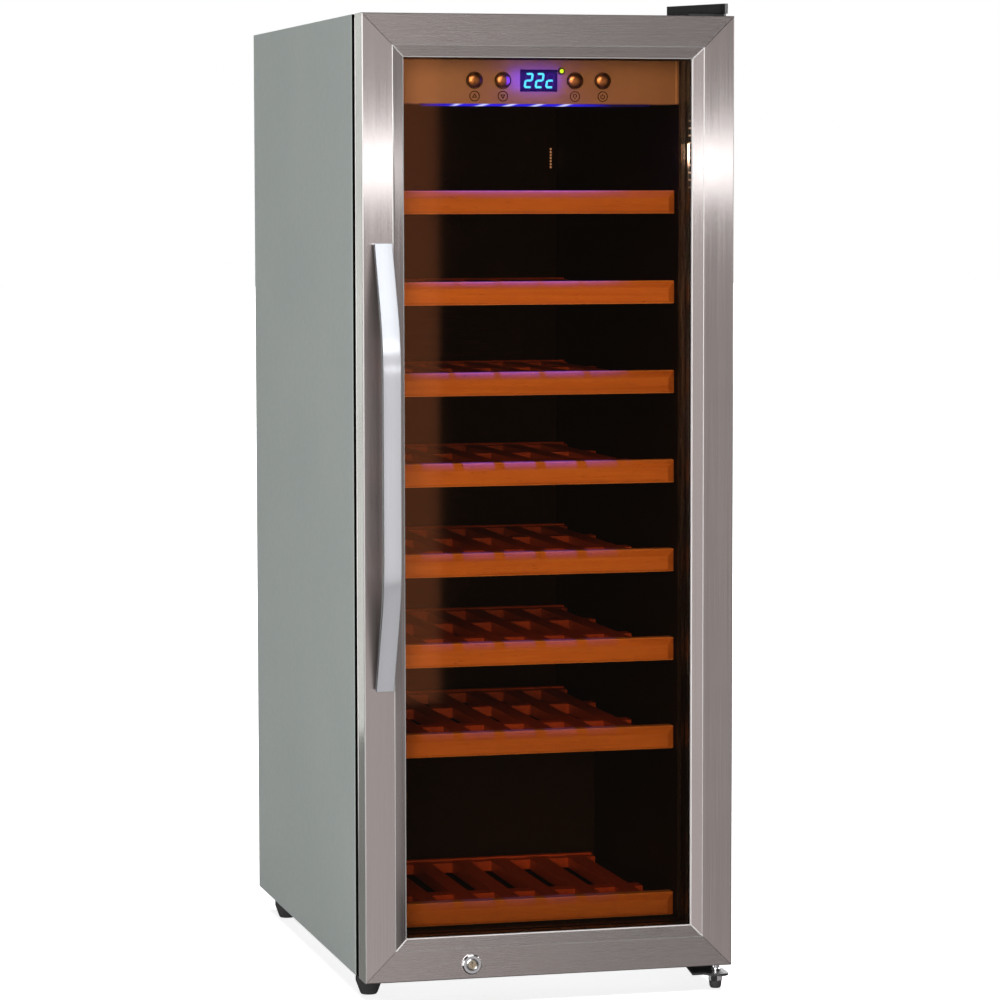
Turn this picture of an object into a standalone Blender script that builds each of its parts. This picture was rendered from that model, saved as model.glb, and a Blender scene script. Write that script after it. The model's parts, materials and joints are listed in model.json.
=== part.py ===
"""Free-standing wine cooler: insulated cabinet, glass door, eight wooden shelves.

Metres, +Z up. The door faces -Y and hinges on the +X side. The origin is on the floor,
under the centre of the object's bounding box.
"""
import math

import bmesh
import bpy
from mathutils import Matrix, Vector

# ---------------------------------------------------------------- driving sizes
WIDTH = 0.395            # cabinet and door
HEIGHT = 0.994           # cabinet and door, without feet and hinge cover
CABINET_D = 0.540
DOOR_T = 0.035
SEAL_GAP = 0.0098        # door back to cabinet front, filled by the gasket
CLEAR = 0.0004           # round a pin, a button or a lamp
FOOT_H = 0.027
HANDLE_PROUD = 0.047
REAR_PROUD = 0.006       # the cord gland stands out of the back
GAP = 0.0003             # between touching pieces
SHEET = 0.001            # cabinet steel

TOTAL_D = HANDLE_PROUD + DOOR_T + SEAL_GAP + CABINET_D + REAR_PROUD
HALF = WIDTH / 2
Z0 = FOOT_H
Z1 = Z0 + HEIGHT
Y_DOOR = HANDLE_PROUD - TOTAL_D / 2
Y_DOOR_BACK = Y_DOOR + DOOR_T
Y_CAB = Y_DOOR_BACK + SEAL_GAP
Y_REAR = Y_CAB + CABINET_D

# cavity and walls
FLANGE = 0.012           # outer steel turned in round the front and the back
CAVITY_HALF = 0.1515
CAVITY_FLOOR = Z0 + 0.042
CAVITY_TOP = Z0 + 0.956
Y_CAVITY_BACK = Y_CAB + 0.493
LINER_T = 0.0015
Y_STEP = Y_CAB + 0.325   # inner step over the compressor
STEP_TOP = Z0 + 0.222
BAY_TOP = Z0 + 0.188     # compressor bay
Y_BAY = Y_CAB + 0.362
FOAM_REAR_GAP = 0.0085   # room for the condenser behind the foam
BASE_T = 0.0012
BASE_FLANGE_H = 0.032

# door frame section
RAIL_FLAT = 0.032
RAIL_BEVEL = 0.012
RAIL_SINK = 0.0032       # the bevel falls back this far to the glass
RAIL_T = 0.0012
RAIL_SIDE = 0.0325       # depth of the rail's outer side
GLASS_EDGE = 0.0365      # pane edge, inward from the door's edge
PANE_T = 0.004
SPACER_T = 0.0118
SIGHT_LINE = 0.0450       # spacer's inner face, inward from the door's edge
Y_OUTER_PANE = Y_DOOR + 0.0057

# shelves
SHELVES = 8
SHELF_PITCH = 0.09425
TOP_SHELF_Z = Z0 + 0.8143     # top of the highest front trim
LOW_SHELF_Z = Z0 + 0.0705     # top of the lowest front trim
TRIM_HALF = 0.150
TRIM_H = 0.024
TRIM_T = 0.018
TRIM_CHAMFER_W = 0.0075
TRIM_CHAMFER_D = 0.005
Y_SHELF = Y_CAB + 0.007
SLATS = 6
SLAT_PITCH = 0.0446
SLAT_W = 0.020
SLAT_T = 0.012
RAIL_HALF = 0.133
LONG_RACK_END = Y_CAB + 0.396
SHORT_RACK_END = Y_CAB + 0.278
LEDGE_IN = 0.026         # ledge width, out of the side wall
LEDGE_T = 0.006

# control panel
PANEL_HALF = 0.1512
PANEL_BOTTOM = Z0 + 0.9038
PANEL_T = 0.0025
PANEL_D = 0.040
CONTROL_Z = Z0 + 0.9278
BUTTON_X = {"button_up": -0.0686, "button_down": -0.0385,
            "button_light": 0.0387, "button_power": 0.0686}
BUTTON_R = 0.0075
DISPLAY_HALF_W = 0.0198
DISPLAY_HALF_H = 0.0111
LED_X = 0.0240
LED_Z = Z0 + 0.9376
LED_R = 0.0029
LAMP_HALF = 0.122
LAMP_Y = Y_CAB + 0.007
LAMP_D = 0.012

# door furniture
HANDLE_X = -0.1775
HANDLE_W = 0.019
HANDLE_T = 0.006
HANDLE_TOP = Z0 + 0.7595
HANDLE_BOTTOM = Z0 + 0.3055
HANDLE_BEND_TOP = Z0 + 0.659
HANDLE_BEND_BOTTOM = Z0 + 0.411
HANDLE_END_GAP = 0.003
LOCK_X = -0.0848
LOCK_Z = Z0 + 0.0153
HINGE_X = 0.1855
HINGE_Y = Y_DOOR + 0.019
PIN_R = 0.004
COVER_LEFT = 0.1265      # plastic cover over the top hinge
COVER_RIGHT = 0.1960
COVER_FRONT = Y_DOOR + 0.0075
COVER_BACK = Y_CAB + 0.056
COVER_H = 0.0130
COVER_WALL = 0.0018
COVER_CORNER = 0.012
COVER_SPLAY = 0.345      # its left side runs in by this much for each unit back
BRACKET_LEFT = 0.1320
BRACKET_RIGHT = 0.1938
BRACKET_BACK = Y_CAB + 0.048
PLATE_T = 0.0025         # both hinge plates

FEET = {"foot_front_left": (-0.176, Y_DOOR + 0.083),
        "foot_rear_left": (-0.176, Y_DOOR + 0.526),
        "foot_rear_right": (0.176, Y_DOOR + 0.526)}
COMPRESSOR_X = 0.055
COMPRESSOR_Y = Y_REAR - 0.090
COMPRESSOR_R = 0.066
COMPRESSOR_FOOT = (0.075, 0.040)   # legs, each side of its middle
TRAY_HALF = (0.062, 0.046)
TRAY_WALL = 0.002
FAN_Z = Z0 + 0.800
FAN_R = 0.040
FAN_BLADES = 5
AIR_COVER_HALF = 0.105
AIR_COVER_LOW = Z0 + 0.590
AIR_COVER_HIGH = Z0 + 0.850
AIR_COVER_D = 0.030
AIR_COVER_WALL = 0.002
GLAND_X = -0.150
GLAND_Z = BAY_TOP + 0.030
GLAND_HOLE_R = 0.0064

# ---------------------------------------------------------------- clean start
for old in list(bpy.data.objects):
    bpy.data.objects.remove(old, do_unlink=True)


def collection(name):
    found = bpy.data.collections.get(name) or bpy.data.collections.new(name)
    if name not in bpy.context.scene.collection.children:
        bpy.context.scene.collection.children.link(found)
    return found


PARTS = collection("wine_cooler")
CUTTERS = collection("wine_cooler_cutters")


# ---------------------------------------------------------------- materials
def material(name, color, roughness, metallic=0.0, alpha=1.0):
    made = bpy.data.materials.new(name)
    made.use_nodes = True
    shader = made.node_tree.nodes["Principled BSDF"]
    shader.inputs["Base Color"].default_value = (*color, 1.0)
    shader.inputs["Roughness"].default_value = roughness
    shader.inputs["Metallic"].default_value = metallic
    shader.inputs["Alpha"].default_value = alpha
    made.diffuse_color = (*color, alpha)
    return made


CABINET_PAINT = material("cabinet_paint", (0.30, 0.33, 0.31), 0.35)
ZINC = material("zinc_steel", (0.60, 0.61, 0.62), 0.40, 1.0)
BRUSHED = material("brushed_steel", (0.62, 0.58, 0.57), 0.30, 1.0)
CHROME = material("chrome", (0.80, 0.80, 0.80), 0.08, 1.0)
BLACK_METAL = material("black_metal", (0.02, 0.02, 0.02), 0.40)
BLACK_PLASTIC = material("black_plastic", (0.02, 0.02, 0.02), 0.50)
LINER = material("liner_plastic", (0.025, 0.022, 0.022), 0.45)
FOAM = material("insulation", (0.80, 0.72, 0.50), 0.90)
WOOD = material("beech", (0.55, 0.28, 0.11), 0.55)
GLASS = material("tinted_glass", (0.35, 0.20, 0.12), 0.03, 0.0, 0.35)
SPACER = material("spacer_aluminium", (0.55, 0.52, 0.50), 0.35, 1.0)
RUBBER = material("rubber", (0.02, 0.02, 0.02), 0.75)
PANEL = material("panel_silver", (0.45, 0.38, 0.33), 0.40)
DISPLAY = material("display", (0.01, 0.02, 0.10), 0.15)
LED = material("led", (0.30, 0.85, 0.10), 0.30)
LAMP = material("lamp_lens", (0.55, 0.60, 0.95), 0.25)
COPPER = material("copper", (0.72, 0.38, 0.22), 0.30, 1.0)
GREY_PLASTIC = material("grey_plastic", (0.55, 0.55, 0.53), 0.50)


# ---------------------------------------------------------------- modelling tools
def place(obj, surface=None, group=PARTS):
    """Link a new object and give it its material; a cutter has none."""
    group.objects.link(obj)
    if surface:
        obj.data.materials.append(surface)
    if group is CUTTERS:
        obj.hide_render = True
        obj.display_type = "WIRE"
    return obj


def mesh_object(name, bm, surface=None, group=PARTS):
    bmesh.ops.recalc_face_normals(bm, faces=bm.faces)
    mesh = bpy.data.meshes.new(name)
    bm.to_mesh(mesh)
    bm.free()
    return place(bpy.data.objects.new(name, mesh), surface, group)


def add_box(bm, low, high):
    low, high = Vector(low), Vector(high)
    size = high - low
    matrix = Matrix.Translation((low + high) / 2) @ Matrix.Diagonal((*size, 1.0))
    bmesh.ops.create_cube(bm, size=1.0, matrix=matrix)


def box(name, low, high, surface=None, group=PARTS, bevel=0.0):
    bm = bmesh.new()
    add_box(bm, low, high)
    obj = mesh_object(name, bm, surface, group)
    if bevel:
        rounded(obj, bevel)
    return obj


def rounded(obj, width, segments=2):
    bevel = obj.modifiers.new("rounded_edges", "BEVEL")
    bevel.width = width
    bevel.segments = segments
    bevel.limit_method = "ANGLE"
    bevel.angle_limit = math.radians(40)
    return bevel


TURN = {"X": Matrix.Rotation(math.pi / 2, 4, "Y"),
        "Y": Matrix.Rotation(-math.pi / 2, 4, "X"),
        "Z": Matrix.Identity(4)}


def add_cylinder(bm, centre, radius, length, axis="Z", sides=24):
    """A cylinder about an axis through its centre."""
    bmesh.ops.create_cone(bm, cap_ends=True, segments=sides, radius1=radius, radius2=radius,
                          depth=length, matrix=Matrix.Translation(centre) @ TURN[axis])


def cylinder(name, centre, radius, length, axis="Z", surface=None, group=PARTS, sides=24):
    bm = bmesh.new()
    add_cylinder(bm, centre, radius, length, axis, sides)
    return smooth(mesh_object(name, bm, surface, group))


def smooth(obj, angle=35):
    obj.data.shade_smooth()
    obj.data.set_sharp_from_angle(angle=math.radians(angle))
    return obj


def lathe(name, profile, centre, axis="Z", surface=None, group=PARTS, steps=24):
    """Turn a profile of (radius, height) pairs, listed from the top down."""
    mesh = bpy.data.meshes.new(name)
    points = [(radius, 0.0, height) for radius, height in profile]
    mesh.from_pydata(points, [(i, i + 1) for i in range(len(points) - 1)], [])
    obj = place(bpy.data.objects.new(name, mesh), surface, group)
    obj.location = centre
    obj.rotation_euler = TURN[axis].to_euler()
    screw = obj.modifiers.new("turned", "SCREW")
    screw.steps = steps
    screw.render_steps = steps
    screw.use_merge_vertices = True
    screw.merge_threshold = 0.00001
    screw.use_smooth_shade = True
    return obj


PLANE = {"XY": (0, 0, 0), "XZ": (math.pi / 2, 0, 0), "YZ": (math.pi / 2, 0, math.pi / 2)}


def flat(name, outlines, thickness, plane, centre, surface=None, group=PARTS):
    """A flat plate from closed outlines; outlines inside the first are holes."""
    curve = bpy.data.curves.new(name, "CURVE")
    curve.dimensions = "2D"
    curve.fill_mode = "BOTH"
    curve.extrude = thickness / 2
    for outline in outlines:
        spline = curve.splines.new("POLY")
        spline.points.add(len(outline) - 1)
        for point, (u, v) in zip(spline.points, outline):
            point.co = (u, v, 0.0, 1.0)
        spline.use_cyclic_u = True
    obj = place(bpy.data.objects.new(name, curve), surface, group)
    obj.location = centre
    obj.rotation_euler = PLANE[plane]
    return obj


def tube(name, points, radius, surface=None):
    curve = bpy.data.curves.new(name, "CURVE")
    curve.dimensions = "3D"
    curve.bevel_depth = radius
    curve.bevel_resolution = 2
    curve.use_fill_caps = True
    spline = curve.splines.new("POLY")
    spline.points.add(len(points) - 1)
    for point, co in zip(spline.points, points):
        point.co = (*co, 1.0)
    return place(bpy.data.objects.new(name, curve), surface)


def as_mesh(obj):
    """Turn a curve into a closed mesh, so that it can be cut or joined."""
    bpy.context.view_layer.update()
    graph = bpy.context.evaluated_depsgraph_get()
    mesh = bpy.data.meshes.new_from_object(obj.evaluated_get(graph))
    bm = bmesh.new()
    bm.from_mesh(mesh)
    bmesh.ops.remove_doubles(bm, verts=bm.verts, dist=0.00001)
    bmesh.ops.recalc_face_normals(bm, faces=bm.faces)
    bm.to_mesh(mesh)
    bm.free()
    name = obj.name
    groups = list(obj.users_collection)
    matrix = obj.matrix_world.copy()
    hidden, display = obj.hide_render, obj.display_type
    bpy.data.objects.remove(obj, do_unlink=True)
    made = bpy.data.objects.new(name, mesh)
    made.matrix_world = matrix
    made.hide_render, made.display_type = hidden, display
    for group in groups:
        group.objects.link(made)
    return made


def boolean(obj, tool, operation):
    modifier = obj.modifiers.new(tool.name, "BOOLEAN")
    modifier.operation = operation
    modifier.object = tool
    modifier.solver = "EXACT"
    return obj


def cut(obj, tool):
    return boolean(obj, tool, "DIFFERENCE")


def join(obj, tool):
    return boolean(obj, tool, "UNION")


def cut_box(obj, name, low, high):
    return cut(obj, box(name, low, high, group=CUTTERS))


def join_box(obj, name, low, high):
    return join(obj, box(name, low, high, group=CUTTERS))


def cut_round(obj, name, centre, radius, length, axis="Z", sides=24):
    return cut(obj, cylinder(name, centre, radius, length, axis, group=CUTTERS, sides=sides))


def boxes(name, bounds, group=CUTTERS):
    """Several separate boxes in one tool."""
    bm = bmesh.new()
    for low, high in bounds:
        add_box(bm, low, high)
    return mesh_object(name, bm, group=group)


def arc(cx, cy, radius, start, end, steps):
    """Points on an arc, angles in degrees."""
    angles = [math.radians(start + (end - start) * i / steps) for i in range(steps + 1)]
    return [(cx + radius * math.cos(a), cy + radius * math.sin(a)) for a in angles]


def corner_points(inset, depth, frame):
    """Four corners of a rectangle inset from a frame (x0, x1, z0, z1), at a depth."""
    x0, x1, z0, z1 = frame
    return [Vector((x0 + inset, depth, z0 + inset)), Vector((x1 - inset, depth, z0 + inset)),
            Vector((x1 - inset, depth, z1 - inset)), Vector((x0 + inset, depth, z1 - inset))]


def ring(name, frame, section, surface):
    """Run a closed section of (inset, y) pairs round a rectangle with mitred corners."""
    bm = bmesh.new()
    loops = [[bm.verts.new(p) for p in corner_points(a, y, frame)] for a, y in section]
    for near, far in zip(loops, loops[1:] + loops[:1]):
        for i in range(4):
            j = (i + 1) % 4
            bm.faces.new((near[i], near[j], far[j], far[i]))
    return mesh_object(name, bm, surface)


def mitred_rail(name, frame, section, side, surface):
    """One side of such a ring, with a hairline left at each mitre."""
    bm = bmesh.new()
    ends = [[], []]
    for inset, y in section:
        corners = corner_points(inset, y, frame)
        first, last = corners[side], corners[(side + 1) % 4]
        along = (last - first).normalized()
        ends[0].append(bm.verts.new(first + along * GAP / 2))
        ends[1].append(bm.verts.new(last - along * GAP / 2))
    count = len(section)
    for i in range(count):
        j = (i + 1) % count
        bm.faces.new((ends[0][i], ends[0][j], ends[1][j], ends[1][i]))
    bm.faces.new(ends[0])
    bm.faces.new(ends[1])
    return mesh_object(name, bm, surface)


# ---------------------------------------------------------------- cabinet
def make_outer_cabinet():
    shell = box("outer_cabinet", (-HALF, Y_CAB, Z0), (HALF, Y_REAR, Z1), CABINET_PAINT)
    inside = HALF - SHEET
    window = HALF - FLANGE
    below = Z0 - 0.01
    cut_box(shell, "cut_void", (-inside, Y_CAB + SHEET, below),
            (inside, Y_REAR - SHEET, Z1 - SHEET))
    cut_box(shell, "cut_front", (-window, Y_CAB - 0.01, below),
            (window, Y_CAB + 0.01, Z1 - FLANGE))
    cut_box(shell, "cut_back", (-window, Y_REAR - 0.01, below),
            (window, Y_REAR + 0.01, Z1 - FLANGE))


def make_back_panel():
    edge = HALF - FLANGE - GAP
    panel = box("back_panel", (-edge, Y_REAR - SHEET, BAY_TOP), (edge, Y_REAR, Z1 - FLANGE - GAP),
                ZINC)
    cut_round(panel, "cut_gland_hole", (GLAND_X, Y_REAR, GLAND_Z), GLAND_HOLE_R, 0.02,
              "Y")


def make_base_plate():
    wide = HALF - SHEET - GAP
    narrow = HALF - FLANGE - GAP
    front = Y_CAB + SHEET + GAP
    back = Y_REAR - SHEET - GAP
    base = box("base_plate", (-wide, front, Z0), (wide, back, Z0 + BASE_T), ZINC)
    join_box(base, "base_lip", (-narrow, Y_CAB, Z0), (narrow, front + 0.002, Z0 + BASE_T))
    join_box(base, "base_flange", (-narrow, Y_CAB, Z0), (narrow, Y_CAB + BASE_T,
                                                         Z0 + BASE_FLANGE_H))
    cut_box(base, "cut_lock_slot", (LOCK_X - 0.0075, Y_CAB - 0.01, LOCK_Z - 0.0055),
            (LOCK_X + 0.024, Y_CAB + 0.01, LOCK_Z + 0.0055))
    for name, (x, y) in FEET.items():
        cut_round(base, "cut_hole_" + name, (x, y, Z0), 0.0052, 0.02)


def step_outline(grow):
    """Side outline of the cavity with its step, in y and z, grown outward all round."""
    return [(Y_CAB, CAVITY_FLOOR - grow), (Y_STEP + grow, CAVITY_FLOOR - grow),
            (Y_STEP + grow, STEP_TOP - grow), (Y_CAVITY_BACK + grow, STEP_TOP - grow),
            (Y_CAVITY_BACK + grow, CAVITY_TOP + grow), (Y_CAB, CAVITY_TOP + grow)]


def open_front(outline, ahead):
    """The same outline with its front edge moved ahead, to cut an open mouth."""
    return [(y - ahead if y == Y_CAB else y, z) for y, z in outline]


def cavity_block(name, grow, ahead, surface=None, group=CUTTERS):
    half = CAVITY_HALF + grow
    outline = open_front(step_outline(grow), ahead)
    return as_mesh(flat(name, [outline], 2 * half, "YZ", (0, 0, 0), surface, group))


def make_foam():
    wide = HALF - SHEET - GAP
    front = Y_CAB + SHEET + 2 * GAP + CLEAR
    back = Y_REAR - FOAM_REAR_GAP
    floor = Z0 + BASE_T + GAP
    foam = box("insulation_foam", (-wide, front, floor), (wide, back, Z1 - SHEET - GAP), FOAM)
    cut(foam, cavity_block("cut_cavity", LINER_T + GAP, 0.02))
    cut_box(foam, "cut_bay", (-HALF, Y_BAY, Z0 - 0.01), (HALF, Y_REAR, BAY_TOP))
    cut_box(foam, "cut_lock_pocket", (LOCK_X - 0.011, Y_CAB - 0.01, LOCK_Z - 0.009),
            (LOCK_X + 0.026, Y_CAB + 0.014, Z0 + 0.038))
    x, y = FEET["foot_front_left"]
    cut_round(foam, "cut_foot_pocket", (x, y, Z0 + 0.010), 0.007, 0.034)


def shelf_top(index):
    if index == SHELVES:
        return LOW_SHELF_Z
    return TOP_SHELF_Z - SHELF_PITCH * (index - 1)


def slat_top(index):
    """The bottom rack sits level with its trim; the others a little lower."""
    return shelf_top(index) - (0.002 if index == SHELVES else 0.006)


def make_liner():
    liner = cavity_block("inner_liner", LINER_T, 0.0, LINER, PARTS)
    edge = HALF - FLANGE - GAP
    join_box(liner, "liner_flange", (-edge, Y_CAB, Z0 + BASE_FLANGE_H + GAP),
             (edge, Y_CAB + LINER_T, Z1 - FLANGE - GAP))
    cut(liner, cavity_block("cut_liner_void", 0.0, 0.02))
    bounds = []
    for index in range(1, SHELVES + 1):
        top = slat_top(index) - SLAT_T - GAP
        back = SHORT_RACK_END if index == SHELVES else LONG_RACK_END
        for side in (-1, 1):
            near, far = side * (CAVITY_HALF - LEDGE_IN), side * (CAVITY_HALF + LINER_T / 2)
            bounds.append(((min(near, far), Y_CAB + 0.028, top - LEDGE_T),
                           (max(near, far), back, top)))
    join(liner, boxes("liner_ledges", bounds))


def make_shelves():
    for index in range(1, SHELVES + 1):
        make_trim(index)
        make_rack(index)


def make_trim(index):
    """A front board whose face is chamfered along its top and its two ends."""
    top = shelf_top(index)
    low, front, back = top - TRIM_H, Y_SHELF, Y_SHELF + TRIM_T
    w, d = TRIM_CHAMFER_W, TRIM_CHAMFER_D
    bm = bmesh.new()
    add_box(bm, (-TRIM_HALF, front, low), (TRIM_HALF, back, top))
    for co, no in (((0, front, top - w), (0, -w, d)),
                   ((TRIM_HALF - w, front, 0), (d, -w, 0)),
                   ((w - TRIM_HALF, front, 0), (-d, -w, 0)),
                   ((0, front, low + w / 3), (0, -w, -d))):
        chamfer(bm, Vector(co), Vector(no))
    mesh_object("shelf_trim_%d" % index, bm, WOOD)


def chamfer(bm, point, normal):
    """Slice off what lies beyond a plane and close the cut."""
    geometry = bm.verts[:] + bm.edges[:] + bm.faces[:]
    result = bmesh.ops.bisect_plane(bm, geom=geometry, plane_co=point, plane_no=normal,
                                    clear_outer=True)
    edges = [e for e in result["geom_cut"] if isinstance(e, bmesh.types.BMEdge)]
    bmesh.ops.contextual_create(bm, geom=edges)


def make_rack(index):
    """Slats front to back, halved over cross rails, with an upstand at the rear."""
    top = slat_top(index)
    low = top - SLAT_T
    front = Y_SHELF + TRIM_T + GAP
    back = SHORT_RACK_END if index == SHELVES else LONG_RACK_END
    first_rail = front + (0.042 if index == SHELVES else 0.086)
    rails = [first_rail, (first_rail + back) / 2, back - 0.022]
    if index == SHELVES:
        rails.pop(1)
    slat_half = SLAT_W / 2
    bounds = []
    for number in range(SLATS):
        x = (number - (SLATS - 1) / 2) * SLAT_PITCH
        bounds.append(((x - slat_half, front, low), (x + slat_half, back - 0.002, top)))
    rack = box("shelf_rack_%d" % index, *bounds[0], WOOD)
    join(rack, boxes("rack_slats_%d" % index, bounds[1:]))
    rail_bounds = [((-RAIL_HALF, y, low + 0.0005), (RAIL_HALF, y + 0.020, top - 0.0005))
                   for y in rails]
    join(rack, boxes("rack_rails_%d" % index, rail_bounds))
    join_box(rack, "rack_upstand_%d" % index, (-RAIL_HALF, back - 0.008, low + 0.001),
             (RAIL_HALF, back, top + 0.0015))


# ---------------------------------------------------------------- door
DOOR = (-HALF, HALF, Z0, Z1)


def make_door_rails():
    """Brushed sheet, folded round the door's edge and down a bevel to the glass."""
    t, y = RAIL_T, Y_DOOR
    full = RAIL_FLAT + RAIL_BEVEL
    section = [(0.0, y + RAIL_SIDE), (0.0, y + 0.001), (0.001, y), (RAIL_FLAT, y),
               (full, y + RAIL_SINK), (full, y + RAIL_SINK + t), (full - t, y + RAIL_SINK + t),
               (RAIL_FLAT - t / 4, y + t), (t, y + t), (t, y + RAIL_SIDE)]
    sides = ("door_frame_bottom", "door_frame_right", "door_frame_top", "door_frame_left")
    return {name: mitred_rail(name, DOOR, section, side, BRUSHED)
            for side, name in enumerate(sides)}


def make_door_core():
    """The plastic frame inside the steel: it holds the glass unit and the gasket."""
    a, y = RAIL_T + GAP, Y_DOOR
    behind_glass = Y_OUTER_PANE + 2 * PANE_T + SPACER_T + 3 * GAP
    section = [(a, y + a), (RAIL_FLAT - 0.001, y + a), (GLASS_EDGE - GAP, y + a + 0.0016),
               (GLASS_EDGE - GAP, behind_glass), (0.0455, behind_glass),
               (0.0455, Y_DOOR_BACK), (a + 0.002, Y_DOOR_BACK), (a, Y_DOOR_BACK - 0.002)]
    return ring("door_inner_frame", DOOR, section, BLACK_PLASTIC)


def pane(name, front, thickness):
    a = GLASS_EDGE
    box(name, (-HALF + a, front, Z0 + a), (HALF - a, front + thickness, Z1 - a), GLASS)


def make_glass_unit():
    pane("outer_glass", Y_OUTER_PANE, PANE_T)
    y = Y_OUTER_PANE + PANE_T + GAP
    depth = SPACER_T
    section = [(GLASS_EDGE + 0.0005, y), (SIGHT_LINE, y), (SIGHT_LINE, y + depth),
               (GLASS_EDGE + 0.0005, y + depth)]
    ring("glass_spacer", DOOR, section, SPACER)
    pane("inner_glass", y + depth + GAP, PANE_T)


def make_gasket():
    frame = (-HALF + 0.014, HALF - 0.014, Z0 + 0.0265, Z1 - 0.014)
    y0, y1 = Y_DOOR_BACK + GAP, Y_CAB - GAP
    section = [(0.0015, y0), (0.0135, y0), (0.0115, y0 + 0.003), (0.0140, y0 + 0.0055),
               (0.0140, y1), (0.0, y1), (0.0, y0 + 0.0055), (0.0035, y0 + 0.003)]
    ring("door_gasket", frame, section, RUBBER)


def handle_outline():
    """Side view of the bowed bar, in y and z, from the front path and its offset."""
    end = Y_DOOR - HANDLE_END_GAP - HANDLE_T / 2
    mid = Y_DOOR - HANDLE_PROUD + HANDLE_T / 2
    path = [(end, HANDLE_TOP)]
    path += bend((end, HANDLE_TOP), (mid, HANDLE_BEND_TOP), (mid, HANDLE_BEND_BOTTOM))
    path += bend((mid, HANDLE_BEND_TOP), (mid, HANDLE_BEND_BOTTOM), (end, HANDLE_BOTTOM))
    path += [(end, HANDLE_BOTTOM)]
    front, back = [], []
    for i, point in enumerate(path):
        before, after = path[max(i - 1, 0)], path[min(i + 1, len(path) - 1)]
        along = Vector((after[0] - before[0], after[1] - before[1])).normalized()
        across = Vector((along[1], -along[0])) * HANDLE_T / 2
        front.append((point[0] + across[0], point[1] + across[1]))
        back.append((point[0] - across[0], point[1] - across[1]))
    return front + back[::-1]


def bend(a, corner, b, setback=0.035, steps=6):
    """A smooth turn at a corner of a path, as a quadratic blend."""
    a, corner, b = Vector(a), Vector(corner), Vector(b)
    start = corner + (a - corner).normalized() * setback
    end = corner + (b - corner).normalized() * setback
    points = []
    for i in range(steps + 1):
        t = i / steps
        point = start * (1 - t) ** 2 + corner * 2 * t * (1 - t) + end * t ** 2
        points.append((point.x, point.y))
    return points


def make_handle():
    bar = as_mesh(flat("door_handle", [handle_outline()], HANDLE_W, "YZ", (HANDLE_X, 0, 0),
                       BRUSHED))
    posts = bmesh.new()
    for z in (HANDLE_TOP - 0.011, HANDLE_BOTTOM + 0.011):
        add_cylinder(posts, (HANDLE_X, Y_DOOR - 0.0035, z), 0.006, 0.0064, "Y", 16)
    join(bar, mesh_object("handle_posts", posts, group=CUTTERS))


def make_lock():
    barrel_r = 0.0085
    lathe("lock_barrel", [(0.0058, -0.0028), (0.0092, -0.0028), (0.0104, -0.0016),
                          (0.0104, -0.0003), (barrel_r, -0.0003), (barrel_r, 0.030),
                          (0.0058, 0.030), (0.0058, -0.0028)][::-1],
          (LOCK_X, Y_DOOR, LOCK_Z), "Y", CHROME, steps=28)
    core = cylinder("lock_core", (LOCK_X, Y_DOOR + 0.0250, LOCK_Z), 0.0054, 0.0540, "Y", CHROME)
    cut_box(core, "cut_keyhole", (LOCK_X - 0.0005, Y_DOOR - 0.01, LOCK_Z - 0.0028),
            (LOCK_X + 0.0005, Y_DOOR + 0.006, LOCK_Z + 0.0028))
    join_box(core, "lock_cam", (LOCK_X - 0.0045, Y_CAB + 0.0045, LOCK_Z - 0.0035),
             (LOCK_X + 0.0215, Y_CAB + 0.0070, LOCK_Z + 0.0035))


def cut_door_holes(rails, core):
    for z, rail in ((Z1, "door_frame_top"), (Z0, "door_frame_bottom")):
        for target in (rails[rail], core):
            cut_round(target, "cut_pin_%s_%s" % (rail, target.name), (HINGE_X, HINGE_Y, z),
                      PIN_R + 0.0005, 0.032)
    for target in (rails["door_frame_bottom"], core):
        cut_round(target, "cut_lock_" + target.name, (LOCK_X, Y_DOOR + 0.02, LOCK_Z),
                  0.0089, 0.08, "Y")


# ---------------------------------------------------------------- hinges and feet
def make_top_hinge():
    low = Z1 + GAP
    outline = [(BRACKET_LEFT, Y_DOOR + 0.0120), (0.1760, Y_DOOR + 0.0100)]
    outline += arc(HINGE_X - 0.0005, HINGE_Y, 0.0088, -90, 0, 6)
    outline += [(BRACKET_RIGHT, BRACKET_BACK), (BRACKET_LEFT + 0.0300, BRACKET_BACK)]
    bracket = as_mesh(flat("top_hinge_bracket", [outline], PLATE_T, "XY",
                           (0, 0, low + PLATE_T / 2), BLACK_METAL))
    pin = cylinder("top_pin", (HINGE_X, HINGE_Y, low - 0.0050), PIN_R, 0.0145, group=CUTTERS)
    join(bracket, pin)
    low = Z1 + 0.0005
    cover = as_mesh(flat("top_hinge_cover", [cover_outline(0.0)], COVER_H, "XY",
                         (0, 0, low + COVER_H / 2), BLACK_PLASTIC))
    roof = Z1 + 0.0080
    void_h = roof - (Z1 - 0.01)
    cut(cover, as_mesh(flat("cut_cover_void", [cover_outline(COVER_WALL)], void_h, "XY",
                            (0, 0, roof - void_h / 2), group=CUTTERS)))
    cut_box(cover, "cut_cover_sill", (0.1500, COVER_FRONT - 0.01, Z1 - 0.01),
            (COVER_RIGHT + 0.01, Y_CAB - 0.002, Z1 + 0.0032))
    cut(cover, cover_slope())


def cover_outline(margin):
    """The cover seen from above, drawn in by a margin all round."""
    left, right = COVER_LEFT + margin * 1.1, COVER_RIGHT - margin
    front, back = COVER_FRONT + margin, COVER_BACK - margin
    radius = COVER_CORNER - margin
    shape = [(left, front)] + arc(right - radius, front + radius, radius, -90, 0, 6)
    return shape + [(right, back), (left + (back - front) * COVER_SPLAY, back)]


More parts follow.
